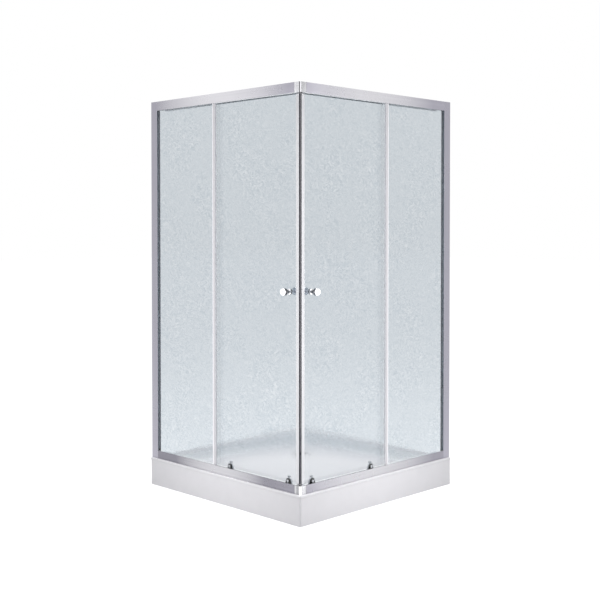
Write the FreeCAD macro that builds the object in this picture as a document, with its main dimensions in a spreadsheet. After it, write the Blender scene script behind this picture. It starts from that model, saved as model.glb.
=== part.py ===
import FreeCAD, Part
import math
import os
import Sketcher

# Square corner-entry shower enclosure on a low tray, in millimetres, +Z up.
# The origin is on the floor under the middle of the tray. The walls stand at -X and +Y,
# and the two doors meet at the front corner, at +X and -Y.
# Each piece of the right-hand face is drawn in that face's own frame: u runs along the face
# from the front corner to the wall, v runs inwards from the tray's outer face, z is height.
# The left-hand pieces are the right-hand ones mirrored in the enclosure's diagonal plane.

V = FreeCAD.Vector

SIZES = {
    # tray
    "tray_side": 1000,
    "tray_height": 126,
    "tray_skin": 4,
    "tray_corner_round": 8,
    "lip_height": 11,
    "lip_overhang": 1.5,
    "lip_round": 4,
    "rim_width": 90,
    "basin_depth": 36,
    "basin_corner_round": 85,
    "basin_wall_run": 22,
    "drain_offset": 160,
    "bar_size": 20,
    "bar_wall": 1.5,
    "bar_offset": 300,
    "bar_end_gap": 40,
    "foot_offset": 400,
    "foot_stud_radius": 5,
    "foot_stud_top_gap": 3,
    "foot_hole_gap": 0.3,
    "foot_pad_radius": 22,
    "foot_pad_top_radius": 10,
    "foot_pad_height": 9,
    "locknut_height": 7,
    "locknut_radius": 9,
    # waste
    "drain_flange_radius": 45,
    "drain_flange_height": 2,
    "drain_throat_radius": 30,
    "drain_wall": 2.5,
    "drain_throat_depth": 26,
    "trap_clearance": 0.3,
    "trap_floor_gap": 12,
    "spigot_radius": 20,
    "spigot_length": 70,
    "spigot_rise": 24,
    "spigot_collar_radius": 23,
    "spigot_collar_length": 10,
    "pipe_room": 15,
    "cover_radius": 40,
    "cover_thickness": 1.5,
    "cover_dome": 5,
    "cover_shoulder_radius": 24,
    "cover_shoulder_drop": 1,
    "cover_rim_drop": 0.9,
    "cover_rim_width": 4.5,
    "cover_clearance": 0.4,
    "cover_stem_radius": 6,
    "cover_stem_length": 13,
    # frame
    "frame_inset": 11,
    "frame_height": 1664,
    "rail_depth": 51,
    "rail_wall": 1.6,
    "top_rail_height": 42,
    "bottom_rail_height": 35,
    "glass_groove": 12.8,
    "ledge_width": 10,
    "bead_height": 3,
    "top_ledge_drop": 7,
    "bottom_ledge_rise": 24,
    "bottom_groove_height": 24,
    "connector_reach": 35,
    "connector_wall": 2.5,
    "connector_round": 3,
    "tongue_length": 24,
    "tongue_clearance": 0.3,
    "post_width": 44,
    "post_depth": 21,
    "post_web_inset": 16,
    "channel_wall": 1.8,
    "channel_clearance": 0.4,
    "channel_reach": 24,
    "channel_end_gap": 2,
    "wall_hole_radius": 3,
    "wall_hole_end_gap": 82,
    "wall_inner_hole_spacing": 500,
    "bracket_reach_rail": 26,
    "bracket_reach_post": 16,
    "bracket_depth": 22,
    "bracket_height": 22,
    "bracket_wall": 1.6,
    # panels
    "glass_thickness": 5,
    "fixed_glass_inset": 5,
    "fixed_panel_width": 410,
    "glass_end_gap": 3,
    "gasket_lip": 11,
    "gasket_proud": 1.2,
    "glazing_strip_height": 9,
    "end_profile_width": 18,
    "end_profile_wall": 1.4,
    "profile_end_gap": 0.5,
    "end_seal_width": 9,
    "end_seal_gap": 0.8,
    "end_seal_lip": 1.6,
    # doors
    "door_glass_inset": 27,
    "door_glass_start": 48,
    "door_overlap": 24,
    "door_glass_top_gap": 11,
    "door_glass_bottom_rise": 15,
    "door_edge_gap": 2,
    "lead_profile_wall": 4,
    "lead_profile_start": 41.5,
    "lead_profile_width": 23,
    "magnet_gap": 0.5,
    "rear_seal_wall": 2,
    "rear_seal_width": 15,
    "rear_seal_reach": 5,
    "door_travel": 400,
    # rollers
    "front_roller_place": 110,
    "rear_roller_inset": 95,
    "roller_bead_gap": 0.2,
    "top_wheel_radius": 11,
    "bottom_wheel_radius": 7.5,
    "wheel_groove_depth": 2,
    "top_wheel_width": 8,
    "bottom_wheel_width": 6,
    "wheel_groove_side_gap": 0.9,
    "wheel_groove_slope": 0.5,
    "axle_radius": 3,
    "axle_running_gap": 0.05,
    "shoulder_radius": 6,
    "roller_side_gap": 0.3,
    "axle_head_radius": 5,
    "axle_head_thickness": 2,
    "axle_nut_radius": 7,
    "axle_nut_thickness": 4,
    "bolt_hole_gap": 0.5,
    "roller_body_rise": 26,
    "roller_body_height": 21,
    "roller_body_width": 36,
    "roller_body_top_width": 20,
    "roller_body_back": 1.6,
    "roller_body_depth": 7,
    "roller_body_cover": 1.4,
    "slider_width": 12,
    "slider_gap": 0.3,
    "slider_thickness": 3,
    "pillar_radius": 3,
    "release_travel": 3.5,
    "button_height": 7,
    "button_width": 13,
    "button_depth": 7,
    "slider_pin_radius": 2,
    "slider_foot": 3,
    "slider_clip_radius": 4,
    "slider_clip_thickness": 1,
    "body_cap_radius": 6,
    "body_cap_thickness": 2.5,
    # stops
    "stop_length": 12,
    "stop_gap": 0.5,
    # knobs
    "knob_place": 100,
    "knob_height": 943,
    "knob_head_radius": 16,
    "knob_head_length": 17,
    "knob_head_round": 3,
    "knob_neck_radius": 6.5,
    "knob_base_radius": 12,
    "knob_base_height": 4,
    "knob_projection": 41,
    "knob_washer_thickness": 1.5,
    "knob_stud_radius": 3,
    "knob_stud_bite": 12,
    # screws
    "screw_radius": 2.1,
    "screw_head_radius": 4.2,
    "screw_head_height": 2,
    "side_screw_length": 14,
    "bracket_screw_length": 10,
    "side_screw_place": 14,
    "side_screw_end_gap": 90,
    # how far a cutting tool runs past the surface it cuts
    "tool_overrun": 1,
}

doc = FreeCAD.newDocument("shower_enclosure")
sheet = doc.addObject("Spreadsheet::Sheet", "Sizes")
for row, (alias, value) in enumerate(SIZES.items(), start=1):
    sheet.set(f"A{row}", alias)
    sheet.set(f"B{row}", str(value))
    sheet.setAlias(f"B{row}", alias)
doc.recompute()


class Size:
    """A length written as an expression of the sheet's cells, with its present value."""

    def __init__(self, text, value):
        self.text = text
        self.value = value

    def _join(self, sign, other, turned=False):
        other = other if isinstance(other, Size) else Size(repr(other), other)
        first, second = (other, self) if turned else (self, other)
        results = {
            "+": first.value + second.value,
            "-": first.value - second.value,
            "*": first.value * second.value,
        }
        return Size(f"({first.text} {sign} {second.text})", results[sign])

    def __add__(self, other):
        return self._join("+", other)

    def __radd__(self, other):
        return self._join("+", other, turned=True)

    def __sub__(self, other):
        return self._join("-", other)

    def __rsub__(self, other):
        return self._join("-", other, turned=True)

    def __mul__(self, other):
        return self._join("*", other)

    def __rmul__(self, other):
        return self._join("*", other, turned=True)

    def __truediv__(self, number):
        return Size(f"({self.text} / {number})", self.value / number)

    def __neg__(self):
        return Size(f"(-1 * {self.text})", -self.value)


def cell(alias):
    return Size(f"Sizes.{alias}", float(sheet.get(alias)))


def as_size(value):
    return value if isinstance(value, Size) else Size(repr(value), value)


def bind(thing, name, value):
    """Set a property from an expression of the sheet."""
    value = as_size(value)
    thing.setExpression(name, value.text)


def put(thing, x, y, z, turn=0.0, axis=V(0, 0, 1)):
    """Place a thing: a turn about one axis, and a base bound to the sheet."""
    thing.Placement = FreeCAD.Placement(V(0, 0, 0), FreeCAD.Rotation(axis, turn))
    for name, value in zip("xyz", (x, y, z)):
        bind(thing, f"Placement.Base.{name}", value)


# ---- shared places, in the face frame -------------------------------------------------

over = cell("tool_overrun")
half_side = cell("tray_side") / 2
wall_u = cell("tray_side")
rim_top = cell("tray_height")
frame_top = rim_top + cell("frame_height")
frame_v = cell("frame_inset")
rail_inner_v = frame_v + cell("rail_depth")
rail_wall = cell("rail_wall")
web_v = frame_v + rail_wall + cell("glass_groove")
top_rail_bottom = frame_top - cell("top_rail_height")
bottom_rail_top = rim_top + cell("bottom_rail_height")
rail_start_u = frame_v + cell("connector_reach")
post_u = wall_u - cell("post_width")
post_inner_v = frame_v + cell("post_depth")
glass = cell("glass_thickness")
fixed_v = frame_v + cell("fixed_glass_inset")
door_v = frame_v + cell("door_glass_inset")
door_inner_v = door_v + glass
bead_v = rail_inner_v - rail_wall - cell("ledge_width")
bead_top = top_rail_bottom + cell("top_ledge_drop") + rail_wall + cell("bead_height")
lower_ledge_top = rim_top + cell("bottom_ledge_rise")
bead_bottom = lower_ledge_top - rail_wall - cell("bead_height")
bead_middle_v = bead_v + rail_wall / 2
top_groove_radius = cell("top_wheel_radius") - cell("wheel_groove_depth")
bottom_groove_radius = cell("bottom_wheel_radius") - cell("wheel_groove_depth")
top_wheel_z = bead_top + cell("roller_bead_gap") + top_groove_radius
bottom_wheel_z = bead_bottom - cell("roller_bead_gap") - bottom_groove_radius
door_glass_bottom = rim_top + cell("door_glass_bottom_rise")
door_glass_top = frame_top - cell("door_glass_top_gap")
fixed_edge_u = post_u - cell("fixed_panel_width")
door_glass_end = fixed_edge_u + cell("door_overlap")
door_strip_bottom = bottom_rail_top + cell("door_edge_gap")
door_strip_top = top_rail_bottom - cell("door_edge_gap")
roller_body_bottom = rim_top + cell("roller_body_rise")
roller_body_top = roller_body_bottom + cell("roller_body_height")
pillar_z = roller_body_bottom + cell("roller_body_height") / 2
front_roller_u = cell("front_roller_place")
rear_roller_u = door_glass_end - cell("rear_roller_inset")
roller_places = {"front": front_roller_u, "rear": rear_roller_u}

nodes = {}


def node(name, thing):
    thing.Label = name
    nodes[name] = thing
    return thing


def stand_in_face(thing):
    """Stand a piece drawn in the face frame on the right-hand face."""
    put(thing, half_side, -half_side, 0.0, 90)
    return thing


def mirrored(name, thing):
    """The left-hand twin of a right-hand piece, across the enclosure's diagonal plane."""
    twin = doc.addObject("Part::Mirroring", name)
    twin.Source = thing
    twin.Base = V(0, 0, 0)
    twin.Normal = V(1, 1, 0)
    return twin


def both_sides(name, thing):
    """Keep the right-hand piece and its left-hand twin as two nodes."""
    node(f"right_{name}", thing)
    node(f"left_{name}", mirrored(f"left_{name}", thing))


def both_in_one(name, things):
    """Keep like right-hand pieces and their left-hand twins as one node of separate solids."""
    right = stand_in_face(group(f"{name}_right", things))
    node(name, group(name, [right, mirrored(f"{name}_left", right)]))


# ---- sketches and solids --------------------------------------------------------------


def sketch(body, role, name, offset=None):
    """An empty sketch on one of the body's own origin planes, moved along its normal."""
    drawing = body.newObject("Sketcher::SketchObject", name)
    plane = next(f for f in body.Origin.OriginFeatures if f.Role == role)
    drawing.AttachmentSupport = [(plane, "")]
    drawing.MapMode = "FlatFace"
    if offset is not None:
        bind(drawing, "AttachmentOffset.Base.z", offset)
    return drawing


def fix(drawing, kind, place, value):
    """Add a dimension to a sketch and bind it to the sheet."""
    value = as_size(value)
    index = drawing.addConstraint(Sketcher.Constraint(kind, *place, value.value))
    drawing.setExpression(f"Constraints[{index}]", value.text)


def polygon(drawing, points):
    """Draw a closed outline of straight lines whose corners are dimensioned from the origin."""
    corners = [(as_size(a), as_size(b)) for a, b in points]
    vectors = [V(a.value, b.value, 0) for a, b in corners]
    lines = []
    for start, end in zip(vectors, vectors[1:] + vectors[:1]):
        lines.append(drawing.addGeometry(Part.LineSegment(start, end), False))
    for line, follower in zip(lines, lines[1:] + lines[:1]):
        drawing.addConstraint(Sketcher.Constraint("Coincident", line, 2, follower, 1))
    for line, (a, b) in zip(lines, corners):
        fix(drawing, "DistanceX", (line, 1), a)
        fix(drawing, "DistanceY", (line, 1), b)


def circle(drawing, a, b, radius):
    a, b, radius = as_size(a), as_size(b), as_size(radius)
    ring = drawing.addGeometry(
        Part.Circle(V(a.value, b.value, 0), V(0, 0, 1), radius.value), False
    )
    fix(drawing, "DistanceX", (ring, 3), a)
    fix(drawing, "DistanceY", (ring, 3), b)
    fix(drawing, "Radius", (ring,), radius)


def rounded_square(drawing, half, radius):
    """Draw a square about the origin with round corners."""
    half, radius = as_size(half), as_size(radius)
    quarter = math.pi / 2
    reach = half - radius
    signs = [(1, 1), (-1, 1), (-1, -1), (1, -1)]
    arcs = []
    for turn, (sx, sy) in enumerate(signs):
        centre = V(sx * reach.value, sy * reach.value, 0)
        arc = Part.ArcOfCircle(
            Part.Circle(centre, V(0, 0, 1), radius.value), quarter * turn, quarter * (turn + 1)
        )
        arcs.append(drawing.addGeometry(arc, False))
    for arc, follower in zip(arcs, arcs[1:] + arcs[:1]):
        start = drawing.Geometry[arc].EndPoint
        end = drawing.Geometry[follower].StartPoint
        line = drawing.addGeometry(Part.LineSegment(start, end), False)
        drawing.addConstraint(Sketcher.Constraint("Tangent", arc, 2, line, 1))
        drawing.addConstraint(Sketcher.Constraint("Tangent", line, 2, follower, 1))
    for arc, (sx, sy) in zip(arcs, signs):
        fix(drawing, "DistanceX", (arc, 3), sx * reach)
        fix(drawing, "DistanceY", (arc, 3), sy * reach)
        fix(drawing, "Radius", (arc,), radius)


def pad(body, drawing, length, name="Pad"):
    feature = body.newObject("PartDesign::Pad", name)
    feature.Profile = drawing
    bind(feature, "Length", length)
    return feature


def pocket(body, drawing, length, upwards, name="Pocket"):
    """Cut a sketch into the body: upwards cuts along the sketch's normal."""
    feature = body.newObject("PartDesign::Pocket", name)
    feature.Profile = drawing
    bind(feature, "Length", length)
    feature.Reversed = upwards
    return feature


def bar_along_u(name, outline, start, length):
    """A body with a section in v and z, padded along u."""
    body = doc.addObject("PartDesign::Body", name)
    section = sketch(body, "YZ_Plane", f"{name}_section", start)
    polygon(section, outline)
    pad(body, section, length)
    return body


def bar_along_z(name, outline, bottom, length):
    """A body with a section in u and v, padded upwards."""
    body = doc.addObject("PartDesign::Body", name)
    section = sketch(body, "XY_Plane", f"{name}_section", bottom)
    polygon(section, outline)
    pad(body, section, length)
    return body


def turned(name, outline):
    """A body turned about its own Y axis from (radius, distance along the axis) points."""
    body = doc.addObject("PartDesign::Body", name)
    section = sketch(body, "XY_Plane", f"{name}_section")
    polygon(section, outline)
    revolution = body.newObject("PartDesign::Revolution", "Revolution")
    revolution.Profile = section
    revolution.ReferenceAxis = (section, ["V_Axis"])
    revolution.Angle = 360
    return body


def box(name, low, high):
    """A box between two corners given in the frame it is drawn in."""
    thing = doc.addObject("Part::Box", name)
    for side, low_value, high_value in zip(("Length", "Width", "Height"), low, high):
        bind(thing, side, as_size(high_value) - as_size(low_value))
    put(thing, *low)
    return thing


def rod(name, centre, radius, length, axis):
    """A cylinder that starts at centre and runs along +X, +Y or +Z."""
    thing = doc.addObject("Part::Cylinder", name)
    bind(thing, "Radius", radius)
    bind(thing, "Height", length)
    turns = {"x": (90, V(0, 1, 0)), "y": (-90, V(1, 0, 0)), "z": (0, V(0, 0, 1))}
    turn, about = turns[axis]
    put(thing, *centre, turn, about)
    return thing


def fuse(name, things):
    if len(things) == 1:
        return things[0]
    joined = doc.addObject("Part::MultiFuse", name)
    joined.Shapes = things
    return joined


def group(name, things):
    """Separate solids that are one node."""
    joined = doc.addObject("Part::Compound", name)
    joined.Links = things
    return joined


def cut(name, base, tools):
    result = doc.addObject("Part::Cut", name)
    result.Base = base
    result.Tool = fuse(f"{name}_tools", tools)
    return result


def at(u, v, z, thing, outward=False):
    """Stand a turned piece on the face: its Y axis runs inwards, or outwards."""
    put(thing, half_side - v, u - half_side, z, -90 if outward else 90)
    return thing


# ---- tray and waste -------------------------------------------------------------------

drain_x = -cell("drain_offset")
drain_y = cell("drain_offset")
basin_floor = rim_top - cell("basin_depth")
basin_underside = basin_floor - cell("tray_skin")
spigot_z = cell("trap_floor_gap") + cell("spigot_rise")


def tray_shell():
    """A pressed tray: skirt with a notch for the waste pipe, lip, rim, sunk basin, drain hole."""
    body = doc.addObject("PartDesign::Body", "tray_shell")
    skin = cell("tray_skin")
    skirt_half = half_side - cell("lip_overhang")
    basin_half = half_side - cell("rim_width")
    floor_half = basin_half - cell("basin_wall_run")
    floor_round = cell("basin_corner_round") - cell("basin_wall_run")

    skirt = sketch(body, "XY_Plane", "skirt_outline")
    rounded_square(skirt, skirt_half, cell("tray_corner_round"))
    pad(body, skirt, rim_top - cell("lip_height") / 2, "Skirt")
    lip = sketch(body, "XY_Plane", "lip_outline", rim_top - cell("lip_height"))
    rounded_square(lip, half_side, cell("tray_corner_round"))
    pad(body, lip, cell("lip_height"), "Lip")
    under = sketch(body, "XY_Plane", "underside_outline")
    rounded_square(under, skirt_half - skin, cell("tray_corner_round") - skin)
    pocket(body, under, rim_top - skin, True, "Underside")

    basin_top = sketch(body, "XY_Plane", "basin_outside_top", rim_top - skin / 2)
    rounded_square(basin_top, basin_half + skin, cell("basin_corner_round") + skin)
    basin_low = sketch(body, "XY_Plane", "basin_outside_floor", basin_underside)
    rounded_square(basin_low, floor_half + skin, floor_round + skin)
    outside = body.newObject("PartDesign::AdditiveLoft", "BasinOutside")
    outside.Profile = basin_top
    outside.Sections = [basin_low]
    outside.Ruled = True

    hollow_top = sketch(body, "XY_Plane", "basin_top", rim_top)
    rounded_square(hollow_top, basin_half, cell("basin_corner_round"))
    hollow_low = sketch(body, "XY_Plane", "basin_floor", basin_floor)
    rounded_square(hollow_low, floor_half, floor_round)
    hollow = body.newObject("PartDesign::SubtractiveLoft", "BasinInside")
    hollow.Profile = hollow_top
    hollow.Sections = [hollow_low]
    hollow.Ruled = True

    drain = sketch(body, "XY_Plane", "drain_hole", basin_underside)
    circle(drain, drain_x, drain_y, cell("drain_throat_radius") + cell("trap_clearance"))
    pocket(body, drain, skin, True, "DrainHole")
    notch = sketch(body, "XY_Plane", "pipe_notch_outline")
    notch_half = cell("spigot_radius") + cell("pipe_room")
    notch_low = skirt_half - skin - over
    notch_high = skirt_half + over
    polygon(
        notch,
        [
            (drain_x - notch_half, notch_low), (drain_x + notch_half, notch_low),
            (drain_x + notch_half, notch_high), (drain_x - notch_half, notch_high),
        ],
    )
    pocket(body, notch, spigot_z + notch_half, True, "PipeNotch")
    doc.recompute()
    last = body.Tip
    edges = outer_top_edges(last.Shape)
    rounding = body.newObject("PartDesign::Fillet", "LipRound")
    rounding.Base = (last, edges)
    bind(rounding, "Radius", cell("lip_round"))
    node("tray_shell", body)


def outer_top_edges(shape):
    """Names of the edges that run round the tray's outer top corner."""
    box_all = shape.BoundBox
    near = SIZES["tray_corner_round"] + SIZES["lip_round"]
    tolerance = 0.01
    found = []
    for number, edge in enumerate(shape.Edges, start=1):
        size = edge.BoundBox
        at_top = size.ZMin > box_all.ZMax - tolerance
        outside = max(abs(size.XMax), abs(size.XMin), abs(size.YMax), abs(size.YMin))
        if at_top and outside > box_all.XMax - near:
            found.append(f"Edge{number}")
    return found


def box_section_bar(middle):
    """A square tube under the basin floor, centred on one y, not yet drilled."""
    size = cell("bar_size")
    wall = cell("bar_wall")
    reach = half_side - cell("bar_end_gap")
    low = basin_underside - size
    near = middle - size / 2
    far = middle + size / 2
    outer = box("bar", (-reach, near, low), (reach, far, basin_underside))
    hollow_low = (-reach - over, near + wall, low + wall)
    hollow_high = (reach + over, far - wall, basin_underside - wall)
    return cut("bar_tube", outer, [box("bar_hollow", hollow_low, hollow_high)])


def screw_foot(x, y):
    """A threaded stud on a conical pad; the stud ends inside the bar."""
    pad_height = cell("foot_pad_height")
    stud_bottom = pad_height / 2
    stud_top = basin_underside - cell("foot_stud_top_gap")
    stud = rod("stud", (x, y, stud_bottom), cell("foot_stud_radius"), stud_top - stud_bottom, "z")
    cone = doc.addObject("Part::Cone", "foot_pad")
    bind(cone, "Radius1", cell("foot_pad_radius"))
    bind(cone, "Radius2", cell("foot_pad_top_radius"))
    bind(cone, "Height", pad_height)
    put(cone, x, y, 0.0)
    return fuse("foot", [stud, cone])


def locknut(x, y, bar_low):
    """A hexagon nut on the stud, tight under the bar."""
    height = cell("locknut_height")
    hexagon = doc.addObject("Part::Prism", "nut")
    hexagon.Polygon = 6
    bind(hexagon, "Circumradius", cell("locknut_radius"))
    bind(hexagon, "Height", height)
    put(hexagon, x, y, bar_low - height)
    bore_low = (x, y, bar_low - height - over)
    bore = rod("nut_bore", bore_low, cell("foot_stud_radius"), height + over * 2, "z")
    return cut("locknut", hexagon, [bore])


def tray_supports():
    """Two box-section bars under the floor, on screw feet with locknuts."""
    bar_low = basin_underside - cell("bar_size")
    hole_radius = cell("foot_stud_radius") + cell("foot_hole_gap")
    hole_depth = cell("bar_wall") + over * 2
    bars, feet, nuts = [], [], []
    for side in (-1, 1):
        y = side * cell("bar_offset")
        holes = []
        for end in (-1, 0, 1):
            x = end * cell("foot_offset")
            holes.append(rod("foot_hole", (x, y, bar_low - over), hole_radius, hole_depth, "z"))
            feet.append(screw_foot(x, y))
            nuts.append(locknut(x, y, bar_low))
        bars.append(cut("bar_drilled", box_section_bar(y), holes))
    node("tray_bars", group("tray_bars", bars))
    node("tray_feet", group("tray_feet", feet))
    node("foot_locknuts", group("foot_locknuts", nuts))


def upright(name, outline, x, y, z):
    """A piece turned about a vertical axis from (radius, height) points."""
    body = doc.addObject("PartDesign::Body", name)
    section = sketch(body, "XZ_Plane", f"{name}_section")
    polygon(section, outline)
    revolution = body.newObject("PartDesign::Revolution", "Revolution")
    revolution.Profile = section
    revolution.ReferenceAxis = (section, ["V_Axis"])
    revolution.Angle = 360
    put(body, x, y, z)
    return body


def waste():
    """Drain flange with its throat, a trap cup with a side spigot, and a lift-off cover."""
    wall = cell("drain_wall")
    throat = cell("drain_throat_radius")
    flange = cell("drain_flange_radius")
    depth = cell("drain_throat_depth")
    rise = cell("drain_flange_height")
    body = upright(
        "drain_body",
        [
            (throat - wall, -depth),
            (throat, -depth),
            (throat, 0.0),
            (flange, 0.0),
            (flange, rise),
            (throat - wall, rise),
        ],
        drain_x,
        drain_y,
        basin_floor,
    )
    node("drain_body", body)

    cup_top = basin_floor - cell("tray_skin") - cell("trap_clearance")
    cup_bottom = cell("trap_floor_gap")
    cup_height = cup_top - cup_bottom
    inner = throat + cell("trap_clearance")
    cup = upright(
        "trap_cup",
        [
            (0.0, 0.0),
            (inner + wall, 0.0),
            (inner + wall, cup_height),
            (inner, cup_height),
            (inner, wall),
            (0.0, wall),
        ],
        drain_x,
        drain_y,
        cup_bottom,
    )
    spigot_start = drain_y + inner + wall / 2
    pipe = rod(
        "spigot",
        (drain_x, spigot_start, spigot_z),
        cell("spigot_radius"),
        cell("spigot_length"),
        "y",
    )
    collar = rod(
        "spigot_collar",
        (drain_x, spigot_start, spigot_z),
        cell("spigot_collar_radius"),
        cell("spigot_collar_length"),
        "y",
    )
    bore = rod(
        "spigot_bore",
        (drain_x, spigot_start - wall * 2, spigot_z),
        cell("spigot_radius") - wall,
        cell("spigot_length") + wall * 4,
        "y",
    )
    trap = cut("drain_trap", fuse("trap_outside", [cup, pipe, collar]), [bore])
    node("drain_trap", trap)

    radius = cell("cover_radius")
    thick = cell("cover_thickness")
    dome = cell("cover_dome")
    shoulder = cell("cover_shoulder_radius")
    shoulder_top = dome - cell("cover_shoulder_drop")
    rim_drop = cell("cover_rim_drop")
    stem = cell("cover_stem_radius")
    stem_bottom = -cell("cover_stem_length")
    cover = upright(
        "drain_cover",
        [
            (0.0, dome),
            (shoulder, shoulder_top),
            (radius, 0.0),
            (radius, -rim_drop),
            (radius - cell("cover_rim_width"), 0.0),
            (shoulder, shoulder_top - thick),
            (stem, dome - thick),
            (stem, stem_bottom),
            (0.0, stem_bottom),
        ],
        drain_x,
        drain_y,
        basin_floor + rise + cell("cover_clearance") + rim_drop,
    )
    node("drain_cover", cover)


# ---- frame ----------------------------------------------------------------------------


def offset_points(points, v0, z0):
    return [(v0 + v, z0 + z) for v, z in points]


def mitre_tool(name, bottom, height):
    """A wedge that trims a rail's inner end along the enclosure's diagonal."""
    start = rail_start_u
    reach = rail_inner_v + over
    before = start - over
    outline = [(before, start), (start, start), (reach, reach), (before, reach)]
    return bar_along_z(name, outline, bottom - over, height + over * 2)


def rails():
    """Top and bottom rails: glass groove outside, door slot, ledge with its bead inside."""
    w = rail_wall
    depth = cell("rail_depth")
    web = w + cell("glass_groove")
    ledge_in = depth - w - cell("ledge_width")
    length = post_u - rail_start_u
    h = cell("top_rail_height")
    drop = cell("top_ledge_drop")
    bead = drop + w + cell("bead_height")
    top_section = [
        (0.0, 0.0), (0.0, h), (depth, h), (depth, 0.0), (depth - w, 0.0), (depth - w, drop),
        (ledge_in, drop), (ledge_in, bead), (ledge_in + w, bead), (ledge_in + w, drop + w),
        (depth - w, drop + w), (depth - w, h - w), (web + w, h - w), (web + w, 0.0),
        (web, 0.0), (web, h - w), (w, h - w), (w, 0.0),
    ]
    top = bar_along_u(
        "top_rail_bar", offset_points(top_section, frame_v, top_rail_bottom), rail_start_u, length
    )
    wedge = mitre_tool("top_rail_mitre", top_rail_bottom, h)
    top_rail = cut("top_rail", top, [wedge, bracket_hole(frame_top - w - over)])
    both_sides("top_rail", stand_in_face(top_rail))

    rise = cell("bottom_ledge_rise")
    bead = rise - w - cell("bead_height")
    groove = cell("bottom_groove_height")
    fascia = cell("bottom_rail_height")
    low_section = [
        (0.0, 0.0), (depth, 0.0), (depth, rise), (ledge_in, rise), (ledge_in, bead),
        (ledge_in + w, bead), (ledge_in + w, rise - w), (depth - w, rise - w), (depth - w, w),
        (web + w, w), (web + w, groove), (web, groove), (web, w), (w, w), (w, fascia),
        (0.0, fascia),
    ]
    low = bar_along_u(
        "bottom_rail_bar", offset_points(low_section, frame_v, rim_top), rail_start_u, length
    )
    wedge = mitre_tool("bottom_rail_mitre", rim_top, fascia)
    bottom_rail = cut("bottom_rail", low, [wedge, bracket_hole(rim_top - over)])
    both_sides("bottom_rail", stand_in_face(bottom_rail))


def bracket_hole(bottom):
    """The hole in a rail for the upright screw of its corner bracket."""
    place = post_u - cell("bracket_reach_rail") / 2
    middle_v = post_inner_v + cell("bracket_depth") / 2
    deep = rail_wall + over * 2
    return rod("bracket_rail_hole", (place, middle_v, bottom), cell("screw_radius"), deep, "z")


def rail_bracket(level, seat, side):
    """One bent plate and its two screws; side is -1 under the top rail's wall, 1 on the bottom's."""
    wall = cell("bracket_wall")
    radius = cell("screw_radius")
    head_radius = cell("screw_head_radius")
    head = cell("screw_head_height")
    shank = cell("bracket_screw_length")
    low_u = post_u - cell("bracket_reach_rail")
    high_u = post_u + cell("bracket_reach_post")
    rail_u = post_u - cell("bracket_reach_rail") / 2
    post_screw_u = post_u + cell("bracket_reach_post") / 2
    deep_v = post_inner_v + cell("bracket_depth")
    middle_v = post_inner_v + cell("bracket_depth") / 2
    far = seat + side * cell("bracket_height")
    near = seat + side * wall
    middle_z = seat + side * cell("bracket_height") / 2
    if side < 0:
        low, high, foot_low, foot_high = far, seat, near, seat
        shank_low, head_low = near, near - head
    else:
        low, high, foot_low, foot_high = seat, far, seat, near
        shank_low, head_low = seat - rail_wall, near

    plate = box("bracket_plate", (low_u, post_inner_v, low), (high_u, post_inner_v + wall, high))
    foot = box("bracket_foot", (low_u, post_inner_v, foot_low), (post_u, deep_v, foot_high))
    deep = wall + over * 2
    holes = [
        rod("bracket_side_hole", (post_screw_u, post_inner_v - over, middle_z), radius, deep, "y"),
        rod("bracket_foot_hole", (rail_u, middle_v, foot_low - over), radius, deep, "z"),
    ]
    bracket = cut(f"{level}_bracket", fuse("bracket_blank", [plate, foot]), holes)

    head_v = post_inner_v + wall
    post_screw = [
        rod("bracket_side_shank", (post_screw_u, head_v - shank, middle_z), radius, shank, "y"),
        rod("bracket_side_head", (post_screw_u, head_v, middle_z), head_radius, head, "y"),
    ]
    rail_screw = [
        rod("bracket_shank", (rail_u, middle_v, shank_low), radius, wall + rail_wall, "z"),
        rod("bracket_head", (rail_u, middle_v, head_low), head_radius, head, "z"),
    ]
    screws = [fuse("bracket_side_screw", post_screw), fuse("bracket_rail_screw", rail_screw)]
    return bracket, screws


def rail_brackets():
    """Bent plates inside the rails' ends that screw each rail to its post."""
    top, top_screws = rail_bracket("top", frame_top - rail_wall, -1)
    bottom, bottom_screws = rail_bracket("bottom", rim_top + rail_wall, 1)
    both_in_one("rail_brackets", [top, bottom])
    return top_screws + bottom_screws


def corner_connector(name, bottom, height, hollow_low, tongue_low, tongue_high):
    """A moulded cap at the front corner, with a tongue in the glass groove of each rail."""
    reach = rail_start_u
    wall = cell("connector_wall")
    near = frame_v + wall
    far = reach - wall
    groove_low = frame_v + rail_wall + cell("tongue_clearance")
    groove_high = web_v - cell("tongue_clearance")
    tongue_end = reach + cell("tongue_length")
    body = doc.addObject("PartDesign::Body", name)
    plan = sketch(body, "XY_Plane", f"{name}_plan", bottom)
    polygon(plan, [(frame_v, frame_v), (reach, frame_v), (reach, reach), (frame_v, reach)])
    pad(body, plan, height, "Cap")
    hollow = sketch(body, "XY_Plane", f"{name}_hollow", hollow_low)
    polygon(hollow, [(near, near), (far, near), (far, far), (near, far)])
    pocket(body, hollow, height - wall, True, "Hollow")
    right = [(far, groove_low), (tongue_end, groove_low), (tongue_end, groove_high), (far, groove_high)]
    for label, outline in (("RightTongue", right), ("LeftTongue", [(v, u) for u, v in right])):
        tongue = sketch(body, "XY_Plane", f"{name}_{label}", tongue_low)
        polygon(tongue, outline)
        pad(body, tongue, tongue_high - tongue_low, label)
    doc.recompute()
    last = body.Tip
    edge = corner_edge(last.Shape)
    rounding = body.newObject("PartDesign::Fillet", "CornerRound")
    rounding.Base = (last, [edge])
    bind(rounding, "Radius", cell("connector_round"))
    node(name, stand_in_face(body))


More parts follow.
